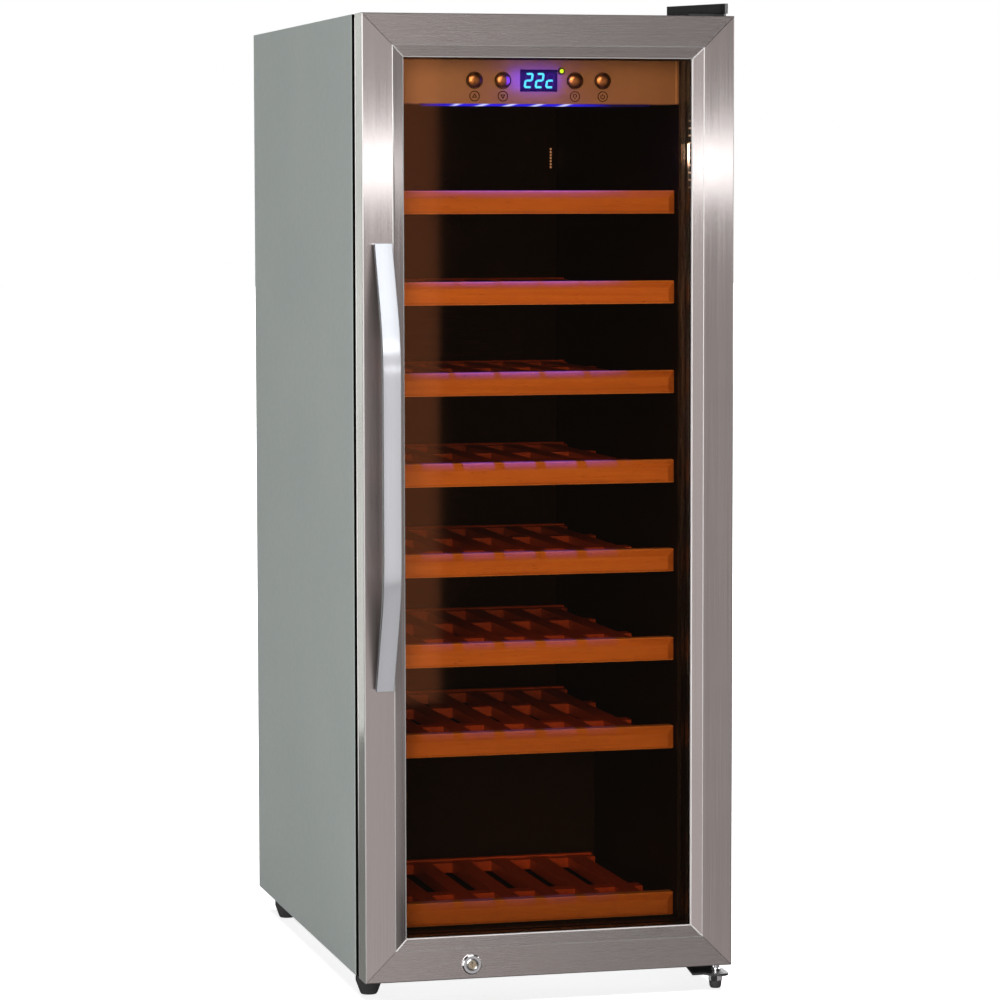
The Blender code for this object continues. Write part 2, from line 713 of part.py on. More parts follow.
def cover_slope():
    """A tilted block that trims the cover's top, so that it rises to the right."""
    bm = bmesh.new()
    add_box(bm, (COVER_LEFT - 0.02, COVER_FRONT - 0.02, 0.0),
            (COVER_RIGHT + 0.02, COVER_BACK + 0.02, 0.02))
    pivot = Vector((COVER_RIGHT - 0.016, 0.0, 0.0))
    bmesh.ops.rotate(bm, cent=pivot, matrix=Matrix.Rotation(math.radians(-3.6), 3, "Y"),
                     verts=bm.verts)
    bmesh.ops.translate(bm, vec=(0.0, 0.0, Z1 + 0.0126), verts=bm.verts)
    return mesh_object("cut_cover_slope", bm, group=CUTTERS)


def make_bottom_hinge():
    plate_top = Z0 - 0.0085
    low = plate_top - PLATE_T
    outline = [(0.1570, Y_DOOR + 0.009), (0.1690, Y_DOOR + 0.009), (0.1760, Y_DOOR + 0.001)]
    outline += arc(0.1865, Y_DOOR + 0.0060, 0.0090, -115, -10, 6)
    outline += [(0.1960, Y_DOOR + 0.020), (0.1960, Y_CAB + 0.0060), (0.1630, Y_CAB + 0.0060)]
    bracket = as_mesh(flat("bottom_hinge_bracket", [outline], PLATE_T, "XY",
                           (0, 0, plate_top - PLATE_T / 2), BLACK_METAL))
    join_box(bracket, "hinge_riser", (0.1635, Y_CAB + 0.0038, low), (0.1955, Y_CAB + 0.0060,
                                                                      Z0 - GAP))
    join_box(bracket, "hinge_tongue", (0.1635, Y_CAB + 0.0038, Z0 - GAP - 0.0022),
             (0.1955, Y_CAB + 0.0560, Z0 - GAP))
    cut_round(bracket, "cut_hinge_pin", (HINGE_X, HINGE_Y, low), PIN_R + CLEAR, 0.02)
    flange_r = 0.0058
    lathe("bottom_hinge_pin", [(0.0, Z0 + 0.0115), (PIN_R - 0.0006, Z0 + 0.0115),
                               (PIN_R, Z0 + 0.0105), (PIN_R, Z0 - 0.0062),
                               (flange_r, Z0 - 0.0062), (flange_r, plate_top + GAP),
                               (PIN_R, plate_top + GAP), (PIN_R, Z0 - 0.0185),
                               (0.0, Z0 - 0.0185)], (HINGE_X, HINGE_Y, 0), "Z", CHROME, steps=20)
    nut_top, nut_low = low - GAP, Z0 - 0.0190
    nut = cylinder("bottom_hinge_nut", (HINGE_X, HINGE_Y, (nut_top + nut_low) / 2), 0.0075,
                   nut_top - nut_low, surface=CHROME, sides=6)
    nut.data.shade_flat()
    cut_round(nut, "cut_nut_bore", (HINGE_X, HINGE_Y, Z0 - 0.015), PIN_R + CLEAR, 0.02)


def foot(name, x, y, top, radius, pad, stud_top):
    """A levelling foot: a tapered moulded pad, and a threaded stud if it has one."""
    pad_h = 0.004
    profile = [(radius, top), (radius, top - (top - pad_h) * 0.55), (pad, pad_h * 0.5),
               (pad - 0.0012, 0.0), (0.0, 0.0)]
    if stud_top > top:
        profile = [(0.0, stud_top), (PIN_R, stud_top), (PIN_R, top)] + profile
    else:
        profile = [(0.0, top)] + profile
    lathe(name, profile, (x, y, 0), "Z", RUBBER, steps=20)


def make_feet():
    for name, (x, y) in FEET.items():
        foot(name, x, y, Z0 - GAP, 0.0140, 0.0095, Z0 + 0.022)
    foot("foot_front_right", HINGE_X, HINGE_Y, Z0 - 0.0190 - GAP, 0.0066, 0.0062, 0.0)


# ---------------------------------------------------------------- control panel
def make_control_panel():
    """A shell under the cavity's ceiling, open at its top and its back."""
    front, back = Y_CAB + 0.0006, Y_CAB + PANEL_D
    top = CAVITY_TOP - GAP
    panel = box("control_panel", (-PANEL_HALF, front, PANEL_BOTTOM), (PANEL_HALF, back, top),
                PANEL)
    cut_box(panel, "cut_panel_void", (-PANEL_HALF + PANEL_T, front + PANEL_T,
                                      PANEL_BOTTOM + PANEL_T),
            (PANEL_HALF - PANEL_T, back + 0.01, top + 0.01))
    cut_box(panel, "cut_display", (-DISPLAY_HALF_W - GAP, front - 0.01,
                                   CONTROL_Z - DISPLAY_HALF_H - GAP),
            (DISPLAY_HALF_W + GAP, front + 0.01, CONTROL_Z + DISPLAY_HALF_H + GAP))
    holes = bmesh.new()
    for x in BUTTON_X.values():
        add_cylinder(holes, (x, front, CONTROL_Z), BUTTON_R + CLEAR, 0.02, "Y")
    add_cylinder(holes, (LED_X, front, LED_Z), LED_R + 0.0003, 0.02, "Y", 16)
    cut(panel, mesh_object("cut_button_holes", holes, group=CUTTERS))
    cut_box(panel, "cut_lamp", (-LAMP_HALF - GAP, LAMP_Y - GAP, PANEL_BOTTOM - 0.01),
            (LAMP_HALF + GAP, LAMP_Y + LAMP_D + GAP, PANEL_BOTTOM + 0.01))
    box("display_module", (-DISPLAY_HALF_W, front + CLEAR, CONTROL_Z - DISPLAY_HALF_H),
        (DISPLAY_HALF_W, front + 0.0090, CONTROL_Z + DISPLAY_HALF_H), DISPLAY)
    for name, x in BUTTON_X.items():
        make_button(name, x, front)
    lathe("status_led", [(0.0, 0.0060), (LED_R, 0.0060), (LED_R, -CLEAR),
                         (LED_R * 0.75, -0.0013), (0.0, -0.0018)], (LED_X, front, LED_Z), "Y",
          LED, steps=16)
    box("lamp_lens", (-LAMP_HALF, LAMP_Y, PANEL_BOTTOM - 0.0022),
        (LAMP_HALF, LAMP_Y + LAMP_D, PANEL_BOTTOM + 0.0040), LAMP, bevel=0.0008)


def make_button(name, x, front):
    """A domed cap on a stem; a collar behind the panel keeps it in."""
    dome = [(0.0, -0.0042)]
    dome += [(BUTTON_R * math.sin(a), -0.0018 - 0.0024 * math.cos(a))
             for a in (math.radians(25 * i) for i in range(1, 4))]
    profile = dome + [(BUTTON_R, -0.0014), (BUTTON_R, PANEL_T + 0.0006),
                      (BUTTON_R + 0.0015, PANEL_T + 0.0006), (BUTTON_R + 0.0015, 0.0048),
                      (0.0, 0.0048)]
    lathe(name, profile[::-1], (x, front, CONTROL_Z), "Y", CHROME, steps=16)


# ---------------------------------------------------------------- cooling
def make_compressor():
    floor = Z0 + BASE_T + GAP
    r = COMPRESSOR_R
    profile = [(0.0, 0.160), (r * 0.55, 0.156), (r * 0.88, 0.143), (r, 0.120), (r, 0.096),
               (r + 0.004, 0.095), (r + 0.004, 0.091), (r, 0.090), (r, 0.052),
               (r * 0.80, 0.030), (r * 0.40, 0.019), (0.0, 0.017)]
    can = lathe("compressor", profile, (COMPRESSOR_X, COMPRESSOR_Y, Z0), "Z", BLACK_METAL,
                steps=24)
    join_box(can, "compressor_foot_plate",
             (COMPRESSOR_X - 0.085, COMPRESSOR_Y - 0.050, floor + 0.018),
             (COMPRESSOR_X + 0.085, COMPRESSOR_Y + 0.050, floor + 0.0205))
    legs = bmesh.new()
    for sx in (-1, 1):
        for sy in (-1, 1):
            centre = (COMPRESSOR_X + sx * COMPRESSOR_FOOT[0],
                      COMPRESSOR_Y + sy * COMPRESSOR_FOOT[1], floor + 0.0095)
            add_cylinder(legs, centre, 0.008, 0.019, sides=16)
    join(can, mesh_object("compressor_legs", legs, group=CUTTERS))
    side = COMPRESSOR_X + r + 0.0050
    box("terminal_box", (side, COMPRESSOR_Y - 0.024, Z0 + 0.062),
        (side + 0.030, COMPRESSOR_Y + 0.024, Z0 + 0.122), BLACK_PLASTIC, bevel=0.003)
    wide, deep = TRAY_HALF
    low, high = Z0 + 0.1612, Z0 + 0.182
    tray = box("evaporation_tray", (COMPRESSOR_X - wide, COMPRESSOR_Y - deep, low),
               (COMPRESSOR_X + wide, COMPRESSOR_Y + deep, high), GREY_PLASTIC)
    wide, deep = wide - TRAY_WALL, deep - TRAY_WALL
    cut_box(tray, "cut_tray", (COMPRESSOR_X - wide, COMPRESSOR_Y - deep, low + TRAY_WALL),
            (COMPRESSOR_X + wide, COMPRESSOR_Y + deep, high + 0.018))


def smooth_path(points, per_span=4):
    """Points on a smooth curve through a route (Catmull-Rom)."""
    route = [Vector(p) for p in points]
    padded = [route[0] * 2 - route[1]] + route + [route[-1] * 2 - route[-2]]
    path = []
    for a, b, c, d in zip(padded, padded[1:], padded[2:], padded[3:]):
        for i in range(per_span):
            t = i / per_span
            path.append(0.5 * (2 * b + (c - a) * t + (2 * a - 5 * b + 4 * c - d) * t ** 2
                               + (3 * b - a - 3 * c + d) * t ** 3))
    return path + [route[-1]]


def serpentine(half, low, high, runs, y):
    """A flat coil of level runs joined by half-round turns, from the bottom up."""
    pitch = (high - low) / (runs - 1)
    points = []
    for run in range(runs):
        side = 1 if run % 2 == 0 else -1
        z = low + run * pitch
        points.append((-side * half, y, z))
        if run < runs - 1:
            for i in range(5):
                angle = math.radians(-90 + 45 * i)
                points.append((side * (half + pitch / 2 * math.cos(angle)), y,
                               z + pitch / 2 * (1 + math.sin(angle))))
    return points


def make_refrigerant_lines():
    """The condenser lies flat behind the back panel and drops to the compressor."""
    y = Y_REAR - 0.0046
    radius = 0.0024
    coil = serpentine(0.110, Z0 + 0.27, Z0 + 0.91, 8, y)
    start = [(-0.110, y, Z0 + 0.222), (-0.110, y, Z0 + 0.165), (-0.098, y - 0.012, Z0 + 0.135),
             (-0.060, COMPRESSOR_Y + 0.045, Z0 + 0.118),
             (-0.020, COMPRESSOR_Y + 0.010, Z0 + 0.112)]
    tube("condenser_tube", smooth_path(start[::-1], 3) + coil, radius, BLACK_METAL)
    x = COMPRESSOR_X - COMPRESSOR_R
    route = [(x - 0.0060, COMPRESSOR_Y - 0.020, Z0 + 0.080),
             (x - 0.030, COMPRESSOR_Y - 0.022, Z0 + 0.084),
             (x - 0.050, COMPRESSOR_Y - 0.030, Z0 + 0.110),
             (x - 0.052, COMPRESSOR_Y - 0.034, Z0 + 0.150),
             (x - 0.052, COMPRESSOR_Y - 0.034, BAY_TOP - GAP)]
    tube("suction_line", smooth_path(route), 0.0032, COPPER)


def make_air_system():
    """Inside, on the rear wall: a cold plate behind a vented cover with its fan."""
    back = Y_CAVITY_BACK - GAP
    box("evaporator_plate", (-0.095, back - 0.0050, Z0 + 0.60), (0.095, back - 0.0030,
                                                                 Z0 + 0.735), SPACER)
    front = back - AIR_COVER_D
    cover = box("fan_cover", (-AIR_COVER_HALF, front, AIR_COVER_LOW),
                (AIR_COVER_HALF, back, AIR_COVER_HIGH), LINER)
    inside = AIR_COVER_HALF - AIR_COVER_WALL
    cut_box(cover, "cut_fan_cover", (-inside, front + AIR_COVER_WALL,
                                     AIR_COVER_LOW + AIR_COVER_WALL),
            (inside, back + 0.01, AIR_COVER_HIGH - AIR_COVER_WALL))
    slots = []
    for number in range(-4, 5):
        z = FAN_Z + number * 0.0080
        half = math.sqrt(max(0.036 ** 2 - (number * 0.0080) ** 2, 0.0))
        slots.append(((-half, front - 0.01, z - 0.0022), (half, front + 0.01, z + 0.0022)))
    for number in range(6):
        z = Z0 + 0.612 + number * 0.014
        slots.append(((-0.075, front - 0.01, z - 0.002), (0.075, front + 0.01, z + 0.002)))
    cut(cover, boxes("cut_vents", slots))
    motor_y = back - 0.0110
    box("fan_motor", (-0.018, motor_y, FAN_Z - 0.018), (0.018, back - GAP, FAN_Z + 0.018),
        BLACK_PLASTIC, bevel=0.002)
    make_fan_rotor(motor_y - GAP - 0.0050)


def make_fan_rotor(y):
    rotor = cylinder("fan_rotor", (0, y, FAN_Z), 0.012, 0.0100, "Y", BLACK_PLASTIC)
    blades = bmesh.new()
    for number in range(FAN_BLADES):
        blade = bmesh.new()
        add_box(blade, (0.009, -0.0007, -0.0105), (FAN_R - 0.004, 0.0007, 0.0105))
        tilt = Matrix.Rotation(math.radians(24), 4, "X")
        spin = Matrix.Rotation(2 * math.pi * number / FAN_BLADES, 4, "Y")
        bmesh.ops.transform(blade, matrix=Matrix.Translation((0, y, FAN_Z)) @ spin @ tilt,
                            verts=blade.verts)
        mesh = bpy.data.meshes.new("blade")
        blade.to_mesh(mesh)
        blade.free()
        blades.from_mesh(mesh)
        bpy.data.meshes.remove(mesh)
    join(rotor, mesh_object("fan_blades", blades, group=CUTTERS))


def make_cord_gland():
    """The flexible lead's gland in the back panel, with its hole through."""
    lathe("cord_gland", [(0.0040, REAR_PROUD), (0.0075, REAR_PROUD), (0.0095, 0.0040),
                         (0.0095, GAP), (0.0060, GAP), (0.0060, -0.0060), (0.0040, -0.0060),
                         (0.0040, REAR_PROUD)], (GLAND_X, Y_REAR, GLAND_Z), "Y", RUBBER,
          steps=20)


# ---------------------------------------------------------------- build
make_outer_cabinet()
make_back_panel()
make_base_plate()
make_foam()
make_liner()
make_shelves()
door_rails = make_door_rails()
door_core = make_door_core()
cut_door_holes(door_rails, door_core)
make_glass_unit()
make_gasket()
make_handle()
make_lock()
make_top_hinge()
make_bottom_hinge()
make_feet()
make_control_panel()
make_compressor()
make_refrigerant_lines()
make_air_system()
make_cord_gland()
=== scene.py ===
"""Looks for the wine cooler: materials, small details, lights and camera round the CAD frame."""
import json
import math

import bmesh
import bpy
from mathutils import Matrix, Vector

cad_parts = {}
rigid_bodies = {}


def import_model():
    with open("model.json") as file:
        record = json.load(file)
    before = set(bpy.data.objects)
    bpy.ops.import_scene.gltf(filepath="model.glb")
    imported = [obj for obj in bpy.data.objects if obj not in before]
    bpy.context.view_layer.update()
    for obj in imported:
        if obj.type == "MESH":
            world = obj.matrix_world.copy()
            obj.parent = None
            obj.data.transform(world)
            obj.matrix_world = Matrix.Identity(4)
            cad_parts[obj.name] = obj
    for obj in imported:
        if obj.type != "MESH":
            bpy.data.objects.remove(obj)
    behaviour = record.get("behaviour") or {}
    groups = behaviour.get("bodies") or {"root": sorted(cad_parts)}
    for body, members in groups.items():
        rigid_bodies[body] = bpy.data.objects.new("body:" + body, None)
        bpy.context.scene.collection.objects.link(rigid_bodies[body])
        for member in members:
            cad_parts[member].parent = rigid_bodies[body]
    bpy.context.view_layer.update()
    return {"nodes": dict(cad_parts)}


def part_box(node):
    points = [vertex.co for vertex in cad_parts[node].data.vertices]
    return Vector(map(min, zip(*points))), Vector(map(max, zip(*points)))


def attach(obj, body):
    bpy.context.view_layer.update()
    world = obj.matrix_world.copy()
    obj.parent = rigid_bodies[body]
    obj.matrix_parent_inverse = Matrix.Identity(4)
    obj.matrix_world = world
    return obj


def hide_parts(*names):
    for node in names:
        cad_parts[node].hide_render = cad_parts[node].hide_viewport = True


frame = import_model()
NODES = frame["nodes"]
SHELVES = range(1, 9)


# ---------------------------------------------------------------- node helpers
def triple(value):
    """One number becomes three alike: an even scale, or a grey."""
    return value if isinstance(value, tuple) else (value, value, value)


class Look:
    """A material under construction: its tree, its shader and short ways to add nodes."""

    def __init__(self, name):
        self.material = bpy.data.materials.new(name)
        self.material.use_nodes = True
        self.tree = self.material.node_tree
        self.shader = self.tree.nodes["Principled BSDF"]
        self.output = self.tree.nodes["Material Output"]

    def node(self, kind, **values):
        made = self.tree.nodes.new("ShaderNode" + kind)
        for key, value in values.items():
            if hasattr(made, key):
                setattr(made, key, value)
            else:
                made.inputs[key.replace("_", " ")].default_value = value
        return made

    def link(self, source, target):
        self.tree.links.new(source, target)

    def drive(self, source, name):
        """Link a value to one of the shader's inputs."""
        self.link(source, self.shader.inputs[name])

    def set(self, **values):
        for key, value in values.items():
            self.shader.inputs[key.replace("_", " ")].default_value = value

    def place(self, scale):
        """Object coordinates, stretched by one scale or by one for each axis."""
        coord = self.node("TexCoord")
        mapping = self.node("Mapping", Scale=triple(scale))
        self.link(coord.outputs["Object"], mapping.inputs["Vector"])
        return mapping.outputs["Vector"]

    def noise(self, scale, detail=3.0, rough=0.55, distortion=0.0):
        made = self.node("TexNoise", Scale=1.0, Detail=detail, Roughness=rough,
                         Distortion=distortion)
        self.link(self.place(scale), made.inputs["Vector"])
        return made.outputs["Fac"]

    def ramp(self, source, *stops):
        """Colours along a value; each stop is (position, colour)."""
        made = self.node("ValToRGB")
        ramp = made.color_ramp
        while len(ramp.elements) < len(stops):
            ramp.elements.new(0.5)
        for element, (position, color) in zip(ramp.elements, stops):
            element.position = position
            element.color = (*triple(color), 1.0)
        self.link(source, made.inputs["Fac"])
        return made.outputs["Color"]

    def span(self, source, low, high, start=0.3, end=0.7):
        """A value from low to high as the source goes from start to end."""
        made = self.node("MapRange")
        for key, value in (("From Min", start), ("From Max", end), ("To Min", low),
                           ("To Max", high)):
            made.inputs[key].default_value = value
        self.link(source, made.inputs["Value"])
        return made.outputs["Result"]

    def math(self, operation, a, b=0.0):
        made = self.node("Math", operation=operation)
        for socket, value in ((made.inputs[0], a), (made.inputs[1], b)):
            if isinstance(value, (int, float)):
                socket.default_value = value
            else:
                self.link(value, socket)
        return made.outputs[0]

    def times(self, first, *others):
        for other in others:
            first = self.math("MULTIPLY", first, other)
        return first

    def plus(self, a, b):
        return self.math("ADD", a, b)

    def minus(self, a, b):
        return self.math("SUBTRACT", a, b)

    def off_beat(self, value, pitch):
        """How far a value is from the nearest whole pitch, as a share of the pitch."""
        phase = self.math("FRACT", self.plus(self.times(value, 1.0 / pitch), 0.5))
        return self.math("ABSOLUTE", self.minus(phase, 0.5))

    def mix(self, factor, a, b, blend="MIX"):
        made = self.node("Mix", data_type="RGBA", blend_type=blend)
        for socket, value in ((made.inputs["Factor"], factor), (made.inputs["A"], a),
                              (made.inputs["B"], b)):
            socket = next(s for s in made.inputs if s.name == socket.name and s.enabled)
            if isinstance(value, (int, float)):
                socket.default_value = value
            elif isinstance(value, tuple):
                socket.default_value = (*value, 1.0)
            else:
                self.link(value, socket)
        return next(s for s in made.outputs if s.enabled)

    def axes(self):
        """The object's X, Y and Z as three values."""
        coord = self.node("TexCoord")
        split = self.node("SeparateXYZ")
        self.link(coord.outputs["Object"], split.inputs[0])
        return split.outputs

    def color(self, source):
        self.drive(source, "Base Color")

    def rough(self, source):
        self.drive(source, "Roughness")

    def bump(self, source, strength, distance):
        made = self.node("Bump", Strength=strength, Distance=distance)
        self.link(source, made.inputs["Height"])
        self.drive(made.outputs["Normal"], "Normal")


def scaled(color, factor):
    return tuple(min(c * factor, 1.0) for c in color)


def along_axis(axis, along, across):
    """Noise scales for a grain: one along the axis and another across it."""
    return tuple(along if i == axis else across for i in range(3))


# ---------------------------------------------------------------- metals
def brushed_steel(name, grain, base, roughness, contrast=0.10):
    """Steel with a long grain along one axis."""
    look = Look(name)
    scratches = look.noise(along_axis(grain, 6.0, 2600.0), 2.0, 0.6)
    streaks = look.noise(along_axis(grain, 1.2, 260.0), 4.0, 0.6)
    cloud = look.noise(9.0, 2.0)
    both = look.plus(look.times(scratches, 0.75), look.times(streaks, 0.25))
    tone = look.ramp(both, (0.30, scaled(base, 1 - contrast)), (0.70, scaled(base, 1 + contrast)))
    smudge = look.ramp(cloud, (0.3, 0.96), (0.7, 1.0))
    look.color(look.mix(1.0, tone, smudge, "MULTIPLY"))
    look.rough(look.plus(look.span(both, roughness - 0.04, roughness + 0.05),
                         look.span(cloud, 0.0, 0.03)))
    look.bump(scratches, 0.10, 0.00005)
    look.set(Metallic=1.0, Anisotropic=1.0, Anisotropic_Rotation=0.25)
    direction = look.node("CombineXYZ")
    direction.inputs[grain].default_value = 1.0
    turned = look.node("VectorTransform", vector_type="VECTOR", convert_from="OBJECT",
                       convert_to="WORLD")
    look.link(direction.outputs[0], turned.inputs[0])
    look.drive(turned.outputs[0], "Tangent")
    return look.material


def chrome(name, base=(0.78, 0.78, 0.80), roughness=0.09):
    look = Look(name)
    haze = look.noise(700.0, 3.0)
    look.color(look.ramp(haze, (0.3, scaled(base, 0.93)), (0.7, base)))
    look.rough(look.span(haze, roughness, roughness + 0.07))
    look.bump(haze, 0.04, 0.00005)
    look.set(Metallic=1.0)
    return look.material


def galvanised(name):
    """Zinc sheet: small crystal patches in two greys, dull between."""
    look = Look(name)
    cells = look.node("TexVoronoi", Scale=1.0)
    look.link(look.place(95.0), cells.inputs["Vector"])
    grey = look.node("SeparateColor")
    look.link(cells.outputs["Color"], grey.inputs[0])
    cloud = look.noise(24.0, 4.0)
    patch = look.plus(look.times(grey.outputs[0], 0.55), look.times(cloud, 0.45))
    look.color(look.ramp(patch, (0.2, (0.50, 0.51, 0.52)), (0.8, (0.61, 0.62, 0.63))))
    look.rough(look.span(patch, 0.34, 0.50, 0.2, 0.8))
    look.bump(patch, 0.06, 0.0001)
    look.set(Metallic=0.9)
    return look.material


def drawn_metal(name, low, high, roughness):
    """Tube or strip with faint mottling."""
    look = Look(name)
    spots = look.noise(420.0, 4.0)
    cloud = look.noise(50.0, 2.0)
    look.color(look.mix(look.span(cloud, 0.0, 1.0), low, high))
    look.rough(look.span(spots, roughness - 0.06, roughness + 0.10))
    look.bump(spots, 0.08, 0.0001)
    look.set(Metallic=1.0)
    return look.material


# how far behind the seam the case's paint goes from painted black shade to full, and
# from a paler painted highlight to full
SEAM_PAINTED_SHADE = (0.0006, 0.0014)
SEAM_PAINTED_HIGHLIGHT = (0.0050, 0.0075)


def enamel(name, low, high, roughness, peel=700.0, coat=0.0, bump=0.10, seam=None):
    """Sprayed or powder paint: orange peel, a slow drift of tone and dusty spots of gloss.

    The face at y = seam, which the door hides, is painted black as painted shade, and the
    edge round it is paler, a painted highlight.
    """
    look = Look(name)
    skin = look.noise(peel, 2.0)
    cloud = look.noise(5.0, 3.0)
    dust = look.noise(160.0, 5.0, 0.7)
    tone = look.mix(look.span(cloud, 0.0, 1.0), low, high)
    look.set(Coat_Weight=coat, Coat_Roughness=0.12)
    if seam is not None:
        # painted shade: black on the face behind the door; painted highlight: a paler edge round it
        depth = look.axes()[1]
        rim = look.span(depth, 1.0, 0.0, *(seam + far for far in SEAM_PAINTED_HIGHLIGHT))
        tone = look.mix(rim, tone, scaled(high, 1.32))
        painted_gap_shade = look.span(depth, 0.0, 1.0, *(seam + far for far in SEAM_PAINTED_SHADE))
        tone = look.mix(painted_gap_shade, (0.002, 0.002, 0.002), tone)
        look.drive(look.times(painted_gap_shade, coat), "Coat Weight")
        look.drive(look.times(painted_gap_shade, 0.5), "Specular IOR Level")
    look.color(tone)
    look.rough(look.span(dust, roughness - 0.03, roughness + 0.06))
    look.bump(skin, bump, 0.00012)
    return look.material


# ---------------------------------------------------------------- plastics and rubber
def moulded(name, low, high, roughness, grain=1400.0, bump=0.18, scratch=0.0, specular=0.5):
    """Moulded plastic with a fine spark-eroded texture and scuffs."""
    look = Look(name)
    texture = look.noise(grain, 2.0, 0.6)
    cloud = look.noise(18.0, 4.0)
    look.color(look.mix(look.span(cloud, 0.0, 1.0), low, high))
    look.rough(look.plus(look.span(texture, roughness - 0.05, roughness + 0.06),
                         look.span(cloud, 0.0, scratch)))
    look.bump(texture, bump, 0.0001)
    look.set(Specular_IOR_Level=specular)
    return look.material


def satin_panel(name):
    """Satin lacquer with a fine grain, and painted light across it: lighter and bluer at the
    left, a little darker and warmer to the right.
    """
    look = Look(name)
    grain = look.noise(1800.0, 2.0, 0.6)
    cloud = look.noise(18.0, 4.0)
    # painted light: lighter and bluer at the left, darker and warmer to the right
    across = look.span(look.axes()[0], 0.0, 1.0, -0.14, 0.14)
    lacquer = look.mix(across, (0.455, 0.460, 0.560), (0.375, 0.345, 0.380))
    shade = look.ramp(cloud, (0.3, 0.92), (0.7, 1.0))
    look.color(look.mix(1.0, lacquer, shade, "MULTIPLY"))
    look.rough(look.span(grain, 0.35, 0.46))
    look.bump(grain, 0.12, 0.0001)
    return look.material


def foam(name):
    look = Look(name)
    cells = look.node("TexVoronoi", Scale=1.0)
    look.link(look.place(420.0), cells.inputs["Vector"])
    cloud = look.noise(30.0, 4.0)
    look.color(look.mix(look.span(cloud, 0.0, 1.0), (0.72, 0.60, 0.34), (0.86, 0.77, 0.52)))
    look.bump(cells.outputs["Distance"], 0.5, 0.0006)
    look.set(Roughness=0.9)
    return look.material


# ---------------------------------------------------------------- wood
LAMP_SHIFT = 0.018        # the lamp's middle, left of the centre line


def beech(name, grain, tone=1.0, glow=None, shade_tint=(1.0, 1.0, 1.0), highlight_rims=None):
    """Varnished beech: soft bands and short dark flecks along the grain.

    glow is (edge height, strength, share of blocks, focus, block pitch, gap) for the violet
    light that the lamp throws on a board's top edge between the slats, painted as emission.
    The last argument is the heights of a board's lower and upper edges, whose eased corners
    are painted a little paler, a painted highlight.
    """
    look = Look(name)
    bands = look.noise(along_axis(grain, 3.5, 95.0), 4.0, 0.55, 0.6)
    pores = look.noise(along_axis(grain, 55.0, 1500.0), 2.0, 0.5)
    flecks = look.noise(along_axis(grain, 160.0, 620.0), 1.0, 0.4)
    blotch = look.noise((11.0, 11.0, 60.0), 2.0)

    def shade(color):
        return tuple(c * tone * r for c, r in zip(color, shade_tint))

    # tone and the tint scale every colour: painted light and shade on copies of one beech
    light, dark = shade((0.70, 0.355, 0.090)), shade((0.53, 0.230, 0.050))
    wood = look.ramp(bands, (0.30, dark), (0.52, light), (0.72, scaled(dark, 1.12)))
    wood = look.mix(look.span(blotch, 0.0, 0.35), wood, shade((0.60, 0.26, 0.10)))
    wood = look.mix(look.span(pores, 0.0, 0.25, 0.45, 0.75), wood, shade((0.34, 0.14, 0.05)))
    wood = look.mix(look.span(flecks, 0.0, 0.75, 0.70, 0.80), wood, shade((0.24, 0.09, 0.03)))
    # painted highlight: the eased corners at the lower and upper edges are paler
    if highlight_rims:
        z = look.axes()[2]
        rim = look.plus(look.span(z, 1.0, 0.0, highlight_rims[0] + 0.0004, highlight_rims[0] + 0.0013),
                        look.span(z, 0.0, 0.7, highlight_rims[1] - 0.0012, highlight_rims[1] - 0.0004))
        wood = look.mix(look.times(rim, 0.9), wood, shade((1.0, 0.66, 0.30)))
    look.color(wood)
    look.rough(look.span(bands, 0.36, 0.50))
    look.bump(look.plus(pores, flecks), 0.12, 0.00012)
    look.set(Coat_Weight=0.25, Coat_Roughness=0.25)
    # painted light: violet emission on the top edge between the slats stands for the lamp's light
    if glow:
        height, strength, blocks, focus, pitch, gap = glow
        x, _, z = look.axes()
        edge = look.math("POWER", look.span(z, 0.0, 1.0, height - 0.0100, height), focus)
        away = look.plus(x, LAMP_SHIFT)
        wave = look.math("COSINE", look.times(away, 2 * math.pi / pitch))
        gaps = look.span(wave, 1.0 - blocks, 1.0, gap - 0.1, gap + 0.1)
        spread = look.span(look.times(away, away), 1.0, 0.0, 0.0020, 0.0150)
        look.drive(look.times(edge, gaps, spread, strength), "Emission Strength")
        look.set(Emission_Color=(0.08, 0.045, 1.0, 1.0))
    return look.material


# ---------------------------------------------------------------- glass and lights
def tinted_glass(name, tint):
    """Clear tint with a sharp reflection, and faint smears in the gloss."""
    look = Look(name)
    look.tree.nodes.remove(look.shader)
    through = look.node("BsdfTransparent", Color=(*tint, 1.0))
    gloss = look.node("BsdfGlossy", Color=(1.0, 1.0, 1.0, 1.0))
    smear = look.noise((7.0, 7.0, 3.0), 4.0)
    look.link(look.span(smear, 0.02, 0.05), gloss.inputs["Roughness"])
    facing = look.node("Fresnel", IOR=1.45)
    mixed = look.node("MixShader")
    look.link(facing.outputs[0], mixed.inputs[0])
    look.link(through.outputs[0], mixed.inputs[1])
    look.link(gloss.outputs[0], mixed.inputs[2])
    look.link(mixed.outputs[0], look.output.inputs["Surface"])
    return look.material


def lit_plastic(name, base, glow, strength):
    """A lit lens with a frosted skin."""
    look = Look(name)
    frost = look.noise(900.0, 2.0)
    look.color(look.ramp(frost, (0.3, scaled(base, 0.85)), (0.7, base)))
    look.drive(look.ramp(frost, (0.3, scaled(glow, 0.85)), (0.7, glow)), "Emission Color")
    look.set(Emission_Strength=strength, Roughness=0.25)
    return look.material


LED_PITCH = 0.0294
LED_MIDDLE = 0.0225       # the lit diodes' middle, left of the centre line


